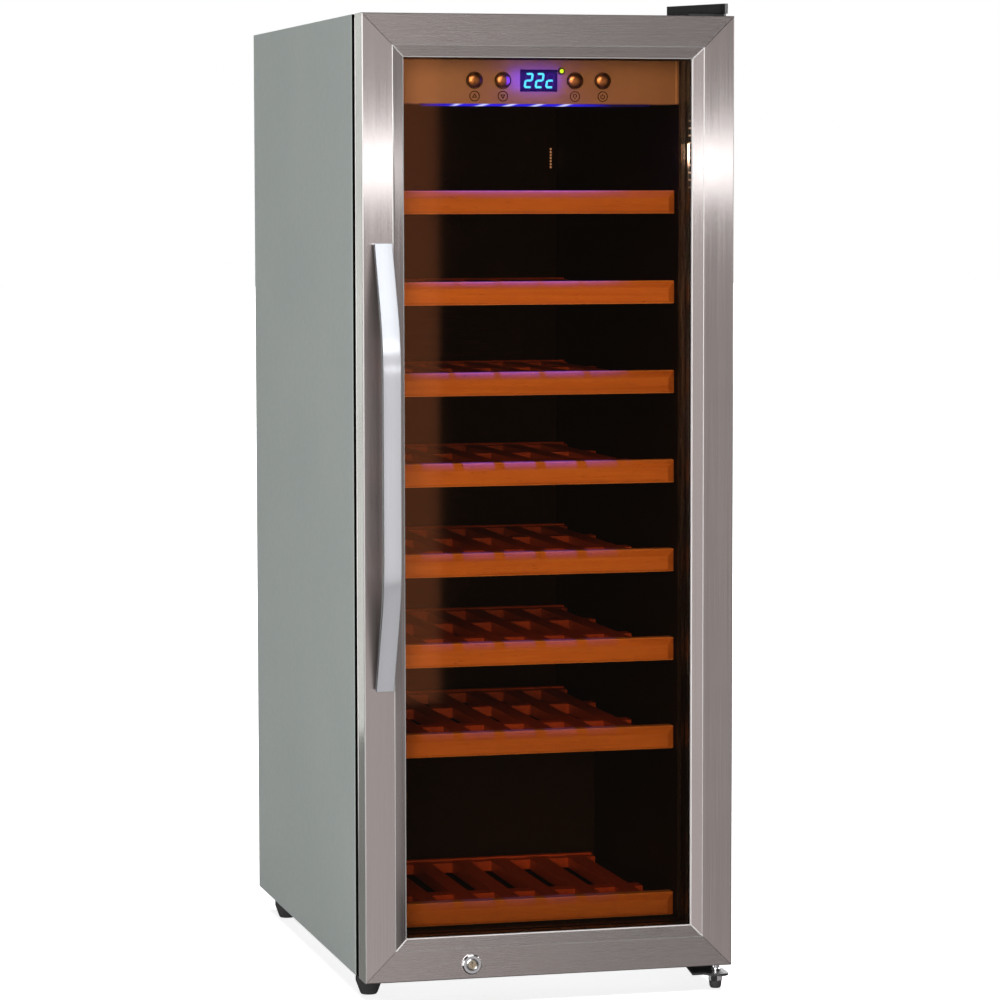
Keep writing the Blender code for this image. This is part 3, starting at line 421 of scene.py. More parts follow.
def lamp_glow(name):
    """Blue diffuser with a slanted white streak at each of its diodes."""
    look = Look(name)
    lo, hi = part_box("lamp_lens")
    x, _, z = look.axes()
    away = look.plus(x, LED_MIDDLE)
    height = look.minus(z, (lo.z + hi.z) / 2)
    slanted = look.plus(away, look.times(height, -3.2))
    streak = look.span(look.off_beat(slanted, LED_PITCH), 1.0, 0.0, 0.05, 0.22)
    middle = look.times(away, away)
    white = look.times(streak, look.span(middle, 1.0, 0.0, 0.0042, 0.0052))
    fade = look.span(middle, 1.0, 0.03, 0.004, 0.0105)
    look.drive(look.mix(white, (0.012, 0.010, 1.0), (0.20, 0.34, 1.0)), "Emission Color")
    look.drive(look.times(fade, look.plus(3.2, look.times(white, 2.0))), "Emission Strength")
    look.color(look.ramp(look.noise(800.0), (0.3, (0.010, 0.010, 0.30)),
                         (0.7, (0.016, 0.016, 0.40))))
    look.set(Roughness=0.45, Specular_IOR_Level=0.15)
    return look.material


SLOT_PITCH = 0.00764
GLEAM_SLOT = 0.9133       # the height of one of the slots
# the middle of a painted reflection: emission on the spacer that stands for a lamp's gleam
GLEAM_Z = 0.8808          # the height of the gleam's middle


def dotted_strip(name):
    """Black spacer with a row of slots, and on its right side a lamp's long gleam painted as
    emission: a painted reflection, with painted glints in the slots near it.
    """
    look = Look(name)
    x, y, z = look.axes()
    lo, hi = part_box("glass_spacer")
    beat = look.off_beat(look.minus(z, GLEAM_SLOT), SLOT_PITCH)
    slot = look.times(look.span(beat, 1.0, 0.0, 0.08, 0.13),
                      look.span(y, 1.0, 0.0, lo.y + 0.0048, lo.y + 0.0054))
    mottle = look.noise(300.0, 3.0)
    metal = look.ramp(mottle, (0.3, (0.0040, 0.0028, 0.0024)), (0.7, (0.0070, 0.0050, 0.0044)))
    look.color(look.mix(slot, metal, (0.0, 0.0, 0.0)))
    look.rough(look.span(mottle, 0.30, 0.40))
    look.bump(look.times(slot, -1.0), 0.5, 0.0004)
    # painted reflection: emission for the gleam, its tail and glints in the slots near it
    right = look.span(x, 0.0, 1.0, hi.x - 0.012, hi.x - 0.011)
    away = look.minus(z, GLEAM_Z)
    near = look.span(look.times(away, away), 1.0, 0.0, 0.0004, 0.0018)
    dots = look.times(slot, near, 0.65)
    band = look.times(look.span(y, 0.0, 1.0, lo.y + 0.0008, lo.y + 0.0014),
                      look.span(y, 1.0, 0.0, lo.y + 0.0068, lo.y + 0.0088))
    hot = look.times(look.span(z, 1.0, 0.0, GLEAM_Z + 0.0086, GLEAM_Z + 0.0092),
                     look.span(z, 0.0, 1.0, GLEAM_Z - 0.0190, GLEAM_Z - 0.0060))
    tail = look.times(look.span(z, 1.0, 0.0, GLEAM_Z, GLEAM_Z + 0.008),
                      look.span(z, 0.0, 0.16, GLEAM_Z - 0.0330, GLEAM_Z - 0.0120))
    gleam = look.plus(look.times(look.math("POWER", hot, 2.5), 7.0), tail)
    light = look.plus(look.times(gleam, band), dots)
    look.drive(look.times(light, right), "Emission Strength")
    look.set(Emission_Color=(1.0, 0.80, 0.72, 1.0), Specular_IOR_Level=0.12)
    return look.material


EDGE_HIGHLIGHT = (1.0, 0.955, 0.94)


def painted_edge_highlight(name, low, high, foot=0.10, head=0.93):
    """A painted highlight on the eased corner of a steel rail: low and high are how bright it
    is painted at two heights.
    """
    look = Look(name)
    rub = look.noise((500.0, 500.0, 30.0), 3.0)
    height = look.span(look.axes()[2], 0.0, 1.0, foot, head)
    steel = look.mix(height, scaled(EDGE_HIGHLIGHT, low), scaled(EDGE_HIGHLIGHT, high))
    worn = look.ramp(rub, (0.3, 0.94), (0.7, 1.0))
    look.color(look.mix(1.0, steel, worn, "MULTIPLY"))
    look.rough(look.span(rub, 0.34, 0.44))
    return look.material


STEEL = (0.60, 0.545, 0.530)
LOOKS = {
    "steel_up": brushed_steel("steel_grain_upright", 2, STEEL, 0.155),
    # the level rails' steel is 3% darker than the upright rails': painted shade
    "steel_across": brushed_steel("steel_grain_level", 0, scaled(STEEL, 0.97), 0.26),
    "handle": brushed_steel("handle_steel", 2, (0.70, 0.70, 0.73), 0.30, 0.05),
    "paint": enamel("case_paint", (0.247, 0.270, 0.258), (0.264, 0.286, 0.273), 0.36, coat=0.12,
                    seam=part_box("outer_cabinet")[0].y),
    "zinc": galvanised("galvanised_sheet"),
    "foam": foam("rigid_foam"),
    "liner": moulded("liner_black", (0.0018, 0.0012, 0.0012), (0.0032, 0.0022, 0.0022), 0.55, 900.0,
                     specular=0.2),
    "black_plastic": moulded("black_moulding", (0.016, 0.016, 0.017), (0.026, 0.026, 0.027), 0.46),
    "hinge_plastic": moulded("hinge_cover_black", (0.006, 0.006, 0.006), (0.010, 0.010, 0.010),
                             0.26, 1600.0, 0.06),
    "core_black": moulded("door_core_black", (0.0025, 0.002, 0.002), (0.0045, 0.0035, 0.0035), 0.50,
                          900.0, specular=0.15),
    "rubber": moulded("black_rubber", (0.014, 0.014, 0.014), (0.024, 0.023, 0.022), 0.72, 600.0,
                      0.3, 0.1),
    "chrome": chrome("bright_chrome"),
    "dark_chrome": chrome("lock_ring_chrome", (0.34, 0.34, 0.35), 0.16),
    "button": chrome("button_chrome", (0.86, 0.72, 0.68), 0.26),
    "core": chrome("lock_core_metal", (0.55, 0.47, 0.36), 0.22),
    "black_metal": enamel("black_paint", (0.012, 0.012, 0.013), (0.022, 0.022, 0.023), 0.34, 500.0),
    "panel": satin_panel("panel_satin_silver"),
    # paler than the panel: a painted highlight on the end cap's raised line
    "ridge": moulded("panel_end_cap_highlight", (0.66, 0.62, 0.58), (0.72, 0.69, 0.65), 0.34, 1800.0, 0.10),
    "display": lit_plastic("display_window", (0.004, 0.004, 0.03), (0.030, 0.018, 1.0), 0.20),
    "led": lit_plastic("pilot_green", (0.2, 0.6, 0.02), (0.42, 1.0, 0.05), 2.6),
    "lamp": lamp_glow("lamp_blue"),
    "copper": drawn_metal("copper_tube", (0.60, 0.27, 0.15), (0.80, 0.42, 0.27), 0.28),
    "evaporator": drawn_metal("cold_plate", (0.020, 0.018, 0.018), (0.035, 0.032, 0.030), 0.50),
    "grey_plastic": moulded("grey_tray", (0.42, 0.42, 0.40), (0.52, 0.52, 0.50), 0.50),
    "spacer": dotted_strip("spacer_strip"),
    "glass": tinted_glass("bronze_glass", (0.925, 0.815, 0.690)),
    # painted shade: the racks' beech is a darker, redder copy of the trims'
    "rack": beech("beech_rack_shaded", 1, 0.62, shade_tint=(1.0, 0.42, 0.36)),
}
# per shelf: the lamp's glow painted on its trim as emission (strength, share of blocks,
# focus, block pitch, gap), and the tone of its beech where that isn't 1, painted light and shade
PAINTED_GLOW = {1: (2.1, 0.0, 6.0, 0.0446, -0.7), 2: (1.7, 0.40, 3.4, 0.0446, -0.85),
        3: (1.7, 0.90, 2.8, 0.0486, -0.90), 4: (1.3, 1.0, 2.3, 0.0443, -0.72),
        5: (0.55, 1.0, 2.0, 0.0446, -0.7), 6: (0.35, 1.0, 2.0, 0.0446, -0.7),
        7: (0.22, 1.0, 2.0, 0.0446, -0.7), 8: (0.12, 1.0, 2.0, 0.0446, -0.7)}
# painted light and shade: trims lighter or darker than 1 from shelf to shelf
TRIM_PAINTED_LIGHT = {2: 1.18, 4: 1.06, 7: 0.84, 8: 0.68}

LOOK_OF = {
    "outer_cabinet": "paint", "back_panel": "zinc", "base_plate": "zinc",
    "insulation_foam": "foam", "inner_liner": "liner", "fan_cover": "liner",
    "door_frame_left": "steel_up", "door_frame_right": "steel_up",
    "door_frame_top": "steel_across", "door_frame_bottom": "steel_across",
    "door_inner_frame": "core_black", "outer_glass": "glass", "inner_glass": "glass",
    "glass_spacer": "spacer", "door_gasket": "rubber", "door_handle": "handle",
    "lock_barrel": "chrome", "lock_core": "core", "top_hinge_bracket": "black_metal",
    "top_hinge_cover": "hinge_plastic", "bottom_hinge_bracket": "black_metal",
    "bottom_hinge_pin": "chrome", "bottom_hinge_nut": "chrome", "control_panel": "panel",
    "display_module": "display", "status_led": "led", "lamp_lens": "lamp",
    "compressor": "black_metal", "terminal_box": "black_plastic",
    "evaporation_tray": "grey_plastic", "condenser_tube": "black_metal",
    "suction_line": "copper", "evaporator_plate": "evaporator", "fan_rotor": "core_black",
    "fan_motor": "core_black", "cord_gland": "rubber",
}
for start, key in (("button_", "button"), ("foot_", "rubber"), ("shelf_rack_", "rack")):
    LOOK_OF.update((name, key) for name in NODES if name.startswith(start))
for name, key in LOOK_OF.items():
    materials = NODES[name].data.materials
    materials.clear()
    materials.append(LOOKS[key])
for index in SHELVES:
    trim = NODES["shelf_trim_%d" % index]
    low, top = (corner.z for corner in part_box(trim.name))
    glow = (top, *PAINTED_GLOW[index])
    trim.data.materials.clear()
    trim.data.materials.append(beech("beech_trim_%d" % index, 0, TRIM_PAINTED_LIGHT.get(index, 1.0), glow,
                                     highlight_rims=(low, top)))


# ---------------------------------------------------------------- soft edges on CAD nodes
def weld(name):
    """Join the facets of a CAD node, so that its edges are shared."""
    NODES[name].modifiers.new("weld", "WELD").merge_threshold = 0.00002


def soften(name, width, angle=35.0):
    """Round the sharp edges of a CAD node a little, so that they catch the light."""
    weld(name)
    bevel = NODES[name].modifiers.new("edges", "BEVEL")
    bevel.width = width
    bevel.segments = 2
    bevel.limit_method = "ANGLE"
    bevel.angle_limit = math.radians(angle)
    bevel.harden_normals = False


def rounding_nodes():
    """A node group that shades smooth, and keeps edges over 35 degrees sharp."""
    group = bpy.data.node_groups.new("round_shading", "GeometryNodeTree")
    for way in ("INPUT", "OUTPUT"):
        group.interface.new_socket("Geometry", in_out=way, socket_type="NodeSocketGeometry")
    start, stop = group.nodes.new("NodeGroupInput"), group.nodes.new("NodeGroupOutput")
    faces = group.nodes.new("GeometryNodeSetShadeSmooth")
    edges = group.nodes.new("GeometryNodeSetShadeSmooth")
    faces.domain, edges.domain = "FACE", "EDGE"
    edges.inputs["Shade Smooth"].default_value = False
    angle = group.nodes.new("GeometryNodeInputMeshEdgeAngle")
    sharp = group.nodes.new("FunctionNodeCompare")
    sharp.data_type, sharp.operation = "FLOAT", "GREATER_THAN"
    sharp.inputs[1].default_value = math.radians(35)
    for source, target in ((start.outputs[0], faces.inputs["Geometry"]),
                           (faces.outputs[0], edges.inputs["Geometry"]),
                           (angle.outputs["Unsigned Angle"], sharp.inputs[0]),
                           (sharp.outputs[0], edges.inputs["Selection"]),
                           (edges.outputs[0], stop.inputs[0])):
        group.links.new(source, target)
    return group


ROUND = rounding_nodes()
for name in NODES:
    if name.startswith(("button_", "foot_", "lock_", "fan_")) or name in (
            "compressor", "condenser_tube", "suction_line", "cord_gland", "status_led",
            "bottom_hinge_pin", "top_hinge_bracket"):
        weld(name)
        NODES[name].modifiers.new("round", "NODES").node_group = ROUND
for index in SHELVES:
    soften("shelf_trim_%d" % index, 0.0006, 25.0)
    soften("shelf_rack_%d" % index, 0.0008)
for name in ("control_panel", "bottom_hinge_nut", "outer_glass", "inner_glass",
             "evaporation_tray"):
    soften(name, 0.0005)
soften("top_hinge_cover", 0.0009)
soften("bottom_hinge_bracket", 0.0004)
for name in ("left", "right", "top", "bottom"):
    soften("door_frame_" + name, 0.0004, 10.0)


# ---------------------------------------------------------------- detail pieces
CLEAR = 0.00001           # keeps a detail's back off the face that it lies on
PANEL_LO, PANEL_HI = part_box("control_panel")
FACE = PANEL_LO.y
DOOR_LO, DOOR_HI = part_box("door_frame_left")[0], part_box("door_frame_right")[1]


def placed(name, data):
    """A new object in the scene."""
    thing = bpy.data.objects.new(name, data)
    bpy.context.scene.collection.objects.link(thing)
    return thing


def finished(name, bm, look, body, smooth=True):
    """Make the shape a piece that rides on a body."""
    bmesh.ops.recalc_face_normals(bm, faces=bm.faces)
    mesh = bpy.data.meshes.new(name)
    bm.to_mesh(mesh)
    bm.free()
    mesh.materials.append(LOOKS[look] if isinstance(look, str) else look)
    if smooth:
        mesh.shade_smooth()
        mesh.set_sharp_from_angle(angle=math.radians(35))
    piece = placed(name, mesh)
    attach(piece, body)
    return piece


def circle(sides, phase=0.0):
    """Evenly spaced points on a circle of radius 1."""
    angles = [2 * math.pi * (i + phase) / sides for i in range(sides)]
    return [(math.cos(a), math.sin(a)) for a in angles]


def skin(bm, rows, closed=False):
    """Faces between rows of points. The end rows are filled, or joined when it is closed."""
    for a, b in zip(rows, rows[1:] + (rows[:1] if closed else [])):
        for i in range(len(a)):
            j = (i + 1) % len(a)
            bm.faces.new((a[i], a[j], b[j], b[i]))
    if not closed:
        bm.faces.new(rows[0])
        bm.faces.new(rows[-1])


def add_turned(bm, centre, profile, sides=48, closed=True):
    """A turned shape round an axis along Y: profile is a list of (radius, y)."""
    cx, cz = centre
    rows = [[bm.verts.new((cx + radius * c, y, cz + radius * s)) for c, s in circle(sides)]
            for radius, y in profile]
    skin(bm, rows, closed)


def add_ring(bm, centre, y0, y1, inner, outer):
    """A flat washer facing -Y."""
    add_turned(bm, centre, ((inner, y1), (inner, y0), (outer, y0), (outer, y1)), 40)


def add_stroke(bm, points, width, y0, y1):
    """A band of constant width along a line of (x, z) points."""
    points = [Vector((x, z)) for x, z in points]
    closed = (points[0] - points[-1]).length < 1e-9
    if closed:
        points = points[:-1]
    count = len(points)
    sides = []
    for i, point in enumerate(points):
        if closed:
            before, after = points[i - 1], points[(i + 1) % count]
        else:
            before, after = points[max(i - 1, 0)], points[min(i + 1, count - 1)]
        into = (point - before).normalized() if (point - before).length else None
        out = (after - point).normalized() if (after - point).length else None
        into, out = into or out, out or into
        tangent = (into + out).normalized()
        normal = Vector((-tangent.y, tangent.x))
        stretch = 1.0 / max(normal.dot(Vector((-into.y, into.x))), 0.4)
        offset = normal * width / 2 * stretch
        corners = ((point + offset, y0), (point - offset, y0), (point - offset, y1),
                   (point + offset, y1))
        sides.append([bm.verts.new((q.x, y, q.y)) for q, y in corners])
    skin(bm, sides, closed)


def turn(radius, centre, start, end, steps):
    """Points (x, z) along an arc between two angles in degrees."""
    angles = [math.radians(start + (end - start) * i / steps) for i in range(steps + 1)]
    return [(centre[0] + radius * math.cos(a), centre[1] + radius * math.sin(a)) for a in angles]


def middle_of(name):
    """The middle of a node's box, seen from the front."""
    lo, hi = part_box(name)
    return (lo.x + hi.x) / 2, (lo.z + hi.z) / 2


# panel: printed symbols, collars, digits and the end line
INK = moulded("panel_ink", (0.003, 0.002, 0.002), (0.006, 0.004, 0.004), 0.6, specular=0.08)
INK_FRONT, INK_BACK = FACE - 0.00012, FACE - CLEAR
INK_LINE = 0.00086
SYMBOL_DROP = 0.0162      # from a button's middle down to its symbol's


def button_symbols():
    """The four printed symbols, a ring each with an arrow, a bulb or a power mark, and the
    buttons' collars."""
    for name in ("button_up", "button_down", "button_light", "button_power"):
        x, button_z = middle_of(name)
        z = button_z - SYMBOL_DROP
        bm = bmesh.new()
        add_ring(bm, (x, z), INK_FRONT, INK_BACK, 0.0046, 0.0055)
        if name in ("button_up", "button_down"):
            s = 1 if name == "button_up" else -1
            base, tip = z - 0.0012 * s, z + 0.0022 * s
            strokes = [[(x - 0.0020, base), (x + 0.0020, base), (x, tip), (x - 0.0020, base)]]
        elif name == "button_light":
            strokes = [turn(0.0017, (x, z + 0.0006), -60, 240, 18)]
            for drop in (0.0015, 0.0023):
                add_stroke(bm, [(x - 0.0008, z - drop), (x + 0.0008, z - drop)], 0.0005,
                           INK_FRONT, INK_BACK)
        else:
            strokes = [turn(0.0021, (x, z - 0.0003), 130, 410, 20),
                       [(x, z + 0.0002), (x, z + 0.0026)]]
        for points in strokes:
            add_stroke(bm, points, INK_LINE, INK_FRONT, INK_BACK)
        finished("symbol_" + name.removeprefix("button_"), bm, INK, "cabinet", smooth=False)
        bm = bmesh.new()
        add_ring(bm, (x, button_z), FACE - 0.0006, FACE - CLEAR, 0.00790, 0.00885)
        finished("collar_" + name.removeprefix("button_"), bm, "black_plastic", "cabinet")


DIGIT_GLOW = lit_plastic("digit_cyan", (0.01, 0.2, 0.6), (0.045, 0.62, 1.0), 3.9)
DIGIT_OFF = lit_plastic("digit_unlit", (0.02, 0.01, 0.06), (0.05, 0.03, 1.0), 0.30)
DIGITS = ((-0.0108, "abged"), (0.0009, "abged"), (0.0122, "ged"))     # x and lit segments
DIGIT_HEIGHT, DIGIT_WIDTH, DIGIT_SLANT = 0.0136, 0.0066, 9
SEGMENT_GAP, SEGMENT_HALF, SEGMENT_TIP = 0.00055, 0.00108, 0.0007


def seven_segments(x, z, lit):
    """The bars of one slanted digit, a to g: each one's two ends, and whether it is lit."""
    w, h = DIGIT_WIDTH / 2, DIGIT_HEIGHT / 2
    ends = {"a": ((-w, h), (w, h)), "b": ((w, h), (w, 0)), "c": ((w, 0), (w, -h)),
            "d": ((-w, -h), (w, -h)), "e": ((-w, 0), (-w, -h)), "f": ((-w, h), (-w, 0)),
            "g": ((-w, 0), (w, 0))}
    slant = math.tan(math.radians(DIGIT_SLANT))
    for key, (a, b) in ends.items():
        a, b = Vector(a), Vector(b)
        gap = (b - a).normalized() * SEGMENT_GAP
        yield [Vector((x + p.x + p.y * slant, z + p.y)) for p in (a + gap, b - gap)], key in lit


def display_digits():
    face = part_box("display_module")[0].y
    on, off = bmesh.new(), bmesh.new()
    for x, lit in DIGITS:
        for (a, b), is_lit in seven_segments(x, middle_of("display_module")[1], lit):
            along = (b - a).normalized()
            across = Vector((-along.y, along.x)) * SEGMENT_HALF
            tip = along * SEGMENT_TIP
            outline = (a - tip, a + across, b + across, b + tip, b - across, a - across)
            bm = on if is_lit else off
            skin(bm, [[bm.verts.new((p.x, y, p.y)) for p in outline]
                      for y in (face - 0.00015, face - CLEAR)])
    finished("digits_lit", on, DIGIT_GLOW, "cabinet", smooth=False)
    finished("digits_unlit", off, DIGIT_OFF, "cabinet", smooth=False)


def led_collar():
    """A dark bezel that laps over the pilot light's rim."""
    front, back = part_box("status_led")[0].y - 0.0001, FACE - CLEAR
    bm = bmesh.new()
    add_turned(bm, middle_of("status_led"),
               ((0.0022, front), (0.0022, front - 0.0004), (0.0032, front - 0.0003),
                (0.0038, back), (0.0031, back), (0.0031, front)), 32)
    finished("pilot_collar", bm, "black_plastic", "cabinet")


def panel_ridge():
    """The panel's end cap shows as a fine raised line near its right end, painted paler than
    the panel as a painted highlight.
    """
    x = PANEL_HI.x - 0.0031
    bm = bmesh.new()
    add_stroke(bm, [(x, PANEL_LO.z + 0.0004), (x, PANEL_HI.z - 0.0004)], 0.0010,
               FACE - 0.0006, FACE - CLEAR)
    finished("panel_ridge", bm, "ridge", "cabinet", smooth=False)


def lock_ring():
    """The stepped escutcheon ring round the lock's core."""
    face = min(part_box("lock_barrel")[0].y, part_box("lock_core")[0].y)
    bm = bmesh.new()
    add_turned(bm, middle_of("lock_barrel"),
               ((0.0046, face - 0.0001), (0.0046, face - 0.0007), (0.0052, face - 0.0010),
                (0.0064, face - 0.0006), (0.0066, face - 0.0001)))
    finished("lock_ring", bm, "dark_chrome", "door")


BEADS = 7
BEAD_X, LOWEST_BEAD_Z = 0.1450, 0.8690
BEAD_RADIUS, BEAD_PITCH = 0.0012, 0.0035


def glint_beads():
    """The short row of beads at the back of the top bay, lit by emission as a painted glint."""
    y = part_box("fan_cover")[1].y - BEAD_RADIUS
    bm = bmesh.new()
    for number in range(BEADS):
        place = Matrix.Translation((BEAD_X, y, LOWEST_BEAD_Z + BEAD_PITCH * number))
        bmesh.ops.create_uvsphere(bm, u_segments=12, v_segments=8, radius=BEAD_RADIUS,
                                  matrix=place)
    # painted glint: the beads glow to stand for reflections of the room's light
    lit = lit_plastic("bead_painted_glint", (0.50, 0.44, 0.38), (1.0, 0.72, 0.60), 0.62)
    finished("glint_beads", bm, lit, "cabinet")


# The door's rails: the width of their flat front, then of the slope inside it, and its depth.
RAIL_FLAT, RAIL_SLOPE, RAIL_SINK = 0.032, 0.012, 0.0032
RAIL_INNER = RAIL_FLAT + RAIL_SLOPE
SLOPE_FOOT = (DOOR_LO.y + RAIL_SINK - 0.0004, DOOR_LO.y + 0.0055)      # front and back
FLAT_FRONT = (DOOR_LO.y - 0.00012, DOOR_LO.y + 0.0002)
# name, side of the door, distance in from its outline, width, front and back, and how
# bright its painted highlight is at its foot and head
RAIL_EDGES = (
    ("edge_right", "right", RAIL_INNER + 0.0003, 0.0011, SLOPE_FOOT, 0.44, 0.46),
    ("edge_left", "left", RAIL_INNER - 0.0004, 0.0009, SLOPE_FOOT, 0.17, 0.17),
    ("edge_bottom", "bottom", RAIL_INNER + 0.0002, 0.0011, SLOPE_FOOT, 0.44, 0.44),
    ("edge_top", "top", RAIL_INNER - 0.0002, 0.0008, SLOPE_FOOT, 0.21, 0.21),
    ("arris_right", "right", RAIL_FLAT + 0.0008, 0.0008, FLAT_FRONT, 0.28, 0.50),
    ("arris_left", "left", RAIL_FLAT, 0.0008, FLAT_FRONT, 0.21, 0.50),
    ("arris_bottom", "bottom", RAIL_FLAT, 0.0007, FLAT_FRONT, 0.15, 0.15),
    ("arris_top", "top", RAIL_FLAT, 0.0007, FLAT_FRONT, 0.14, 0.14),
    ("arris_corner", "left", 0.0008, 0.0014, (DOOR_LO.y - 0.0001, DOOR_LO.y + 0.0012), 0.20,
     0.46),
)
# the seam at each mitred corner: side, end and the brightness of its painted highlight
MITRES = ((-1, -1, 0.50), (1, -1, 0.36), (-1, 1, 0.24), (1, 1, 0.34))
MITRE_HALF, MITRE_PROUD, MITRE_SUNK = 0.00045, 0.00015, 0.00030


def rail_edges():
    """Painted highlights along the rails' eased edges."""
    for name, side, inset, width, (y0, y1), dim, bright in RAIL_EDGES:
        left, right = DOOR_LO.x + inset, DOOR_HI.x - inset
        low, high = DOOR_LO.z + inset, DOOR_HI.z - inset
        ends = {"left": ((left, low), (left, high)), "right": ((right, low), (right, high)),
                "bottom": ((left, low), (right, low)), "top": ((left, high), (right, high))}
        bm = bmesh.new()
        add_stroke(bm, ends[side], width, y0, y1)
        finished(name, bm, painted_edge_highlight(name + "_steel", dim, bright), "door", smooth=False)


def rail_hem():
    """The folded hem along the back of the left side, with a painted highlight."""
    rear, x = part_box("door_frame_left")[1].y, DOOR_LO.x + 0.0002
    bm = bmesh.new()
    add_stroke(bm, [(x, DOOR_LO.z + 0.004), (x, DOOR_HI.z - 0.004)], 0.0006, rear - 0.0038,
               rear - 0.0003)
    finished("hem_left", bm, painted_edge_highlight("hem_left_steel", 0.18, 0.66, 0.14, 0.31), "door",
             smooth=False)


def rail_mitres():
    """A fine ridge along the seam of each corner, down the slope, with a painted highlight."""
    for number, (side, end, tone) in enumerate(MITRES):
        name = "mitre_%d" % number
        lean = -MITRE_HALF * side * end
        outline = ((-MITRE_HALF, -MITRE_PROUD, -lean), (MITRE_HALF, -MITRE_PROUD, lean),
                   (0.0, MITRE_SUNK, 0.0))
        bm = bmesh.new()
        rows = []
        for inset, y in ((RAIL_FLAT, DOOR_LO.y), (RAIL_INNER, DOOR_LO.y + RAIL_SINK)):
            x = DOOR_HI.x - inset if side > 0 else DOOR_LO.x + inset
            z = DOOR_HI.z - inset if end > 0 else DOOR_LO.z + inset
            rows.append([bm.verts.new((x + dx, y + dy, z + dz)) for dx, dy, dz in outline])
        skin(bm, rows)
        finished(name, bm, painted_edge_highlight(name + "_steel", tone, tone), "door", smooth=False)


# back and underside: a drier and screws
DRIER_X, DRIER_Y = -0.112, 0.212


def filter_drier():
    """The copper drier that stands in the compressor bay, joined above and below."""
    bottom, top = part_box("base_plate")[0].z + 0.0014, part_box("suction_line")[1].z
    profile = ((0.0024, bottom), (0.0024, 0.082), (0.0040, 0.087), (0.0095, 0.096),
               (0.0095, 0.150), (0.0040, 0.159), (0.0020, 0.164), (0.0020, top))
    bm = bmesh.new()
    skin(bm, [[bm.verts.new((DRIER_X + radius * c, DRIER_Y + radius * s, z))
               for c, s in circle(28)] for radius, z in profile])
    finished("filter_drier", bm, "copper", "cabinet")


SCREW_HEAD = ((1.0, 0.0), (1.0, 0.35), (0.86, 0.75), (0.55, 0.97), (0.42, 1.0))
SCREW_CROSS = ((0.40, 0.16, 0.98), (0.30, 0.10, 0.45))


def add_screw(bm, centre, axis, radius=0.0032, height=0.0016):
    """A pan-head screw with a cross recess; axis is the way the head faces.

    SCREW_HEAD is its outline as shares of the radius and height. SCREW_CROSS is the recess's
    rim and floor: the radius in the cross's arms, the radius between them, and the height."""
    spin = Vector((0, 0, 1)).rotation_difference(Vector(axis)).to_matrix().to_4x4()
    place = Matrix.Translation(centre) @ spin
    sides = 20
    rows = [[(radius * r * c, radius * r * s, height * h) for c, s in circle(sides)]
            for r, h in SCREW_HEAD]
    for arm, between, h in SCREW_CROSS:
        reach = [radius * (arm if i % 5 in (0, 1) else between) for i in range(sides)]
        rows.append([(r * c, r * s, height * h) for r, (c, s) in zip(reach, circle(sides, -0.5))])
    skin(bm, [[bm.verts.new(place @ Vector(point)) for point in row] for row in rows])


def back_screws():
    lo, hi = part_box("back_panel")
    margin, end_gap, steps = 0.008, 0.03, 4
    bm = bmesh.new()
    for x in (lo.x + margin, hi.x - margin):
        for step in range(steps + 1):
            z = lo.z + end_gap + (hi.z - lo.z - 2 * end_gap) * step / steps
            add_screw(bm, (x, hi.y, z), (0, 1, 0))
    for x in (-0.09, 0.0, 0.09):
        for z in (hi.z - margin, lo.z + margin):
            add_screw(bm, (x, hi.y, z), (0, 1, 0))
    finished("rear_screws", bm, "chrome", "cabinet")


def hinge_screws():
    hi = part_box("bottom_hinge_bracket")[1]
    bm = bmesh.new()
    for x in (0.1715, 0.1872):
        for back in (0.016, 0.040):
            add_screw(bm, (x, hi.y - back, hi.z - 0.0024), (0, 0, -1), 0.0034, 0.0018)
    finished("hinge_screws", bm, "zinc", "cabinet")


# handle
HANDLE_LO, HANDLE_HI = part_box("door_handle")
BAR_REACH, BAR_END_GAP = 0.047, 0.003      # off the door: the bar's front, and its ends
BAR_HALF, BAR_EASE = 0.003, 0.0009         # half the bar's thickness, and its rounding
BEND_TOP, BEND_BOTTOM = 0.1005, 0.1055     # from the bar's ends to its bends
BEND_HALF, BEND_STEPS = 0.035, 12          # half a bend's length
END_CHAMFER = 0.0006
POST_INSET = 0.011                         # from the bar's ends to its posts
POST_PROFILE = ((0.0070, 0.0002), (0.0070, 0.0009), (0.0060, 0.0010), (0.0060, 0.0045))


def handle_path():
    """Centre line of the bowed bar as (y, z), from the CAD bar's own box."""
    end = HANDLE_LO.y + BAR_REACH - BAR_END_GAP - BAR_HALF
    mid = HANDLE_LO.y + BAR_HALF
    corners = [Vector(c) for c in ((end, HANDLE_HI.z), (mid, HANDLE_HI.z - BEND_TOP),
                                   (mid, HANDLE_LO.z + BEND_BOTTOM), (end, HANDLE_LO.z))]
    path = [corners[0]]
    for a, corner, b in zip(corners, corners[1:], corners[2:]):
        start = corner + (a - corner).normalized() * BEND_HALF
        stop = corner + (b - corner).normalized() * BEND_HALF
        for i in range(BEND_STEPS + 1):
            t = i / BEND_STEPS
            path.append(start * (1 - t) ** 2 + corner * 2 * t * (1 - t) + stop * t ** 2)
    return path + [corners[-1]]


def bar_section(half_width):
    """The bar's outline with its long edges eased, as (across, through)."""
    outline = []
    for sx, st, first in ((1, 1, 0), (-1, 1, 90), (-1, -1, 180), (1, -1, 270)):
        for angle in (math.radians(first + 30 * i) for i in range(4)):
            outline.append((sx * (half_width - BAR_EASE) + BAR_EASE * math.cos(angle),
                            st * (BAR_HALF - BAR_EASE) + BAR_EASE * math.sin(angle)))
    return outline


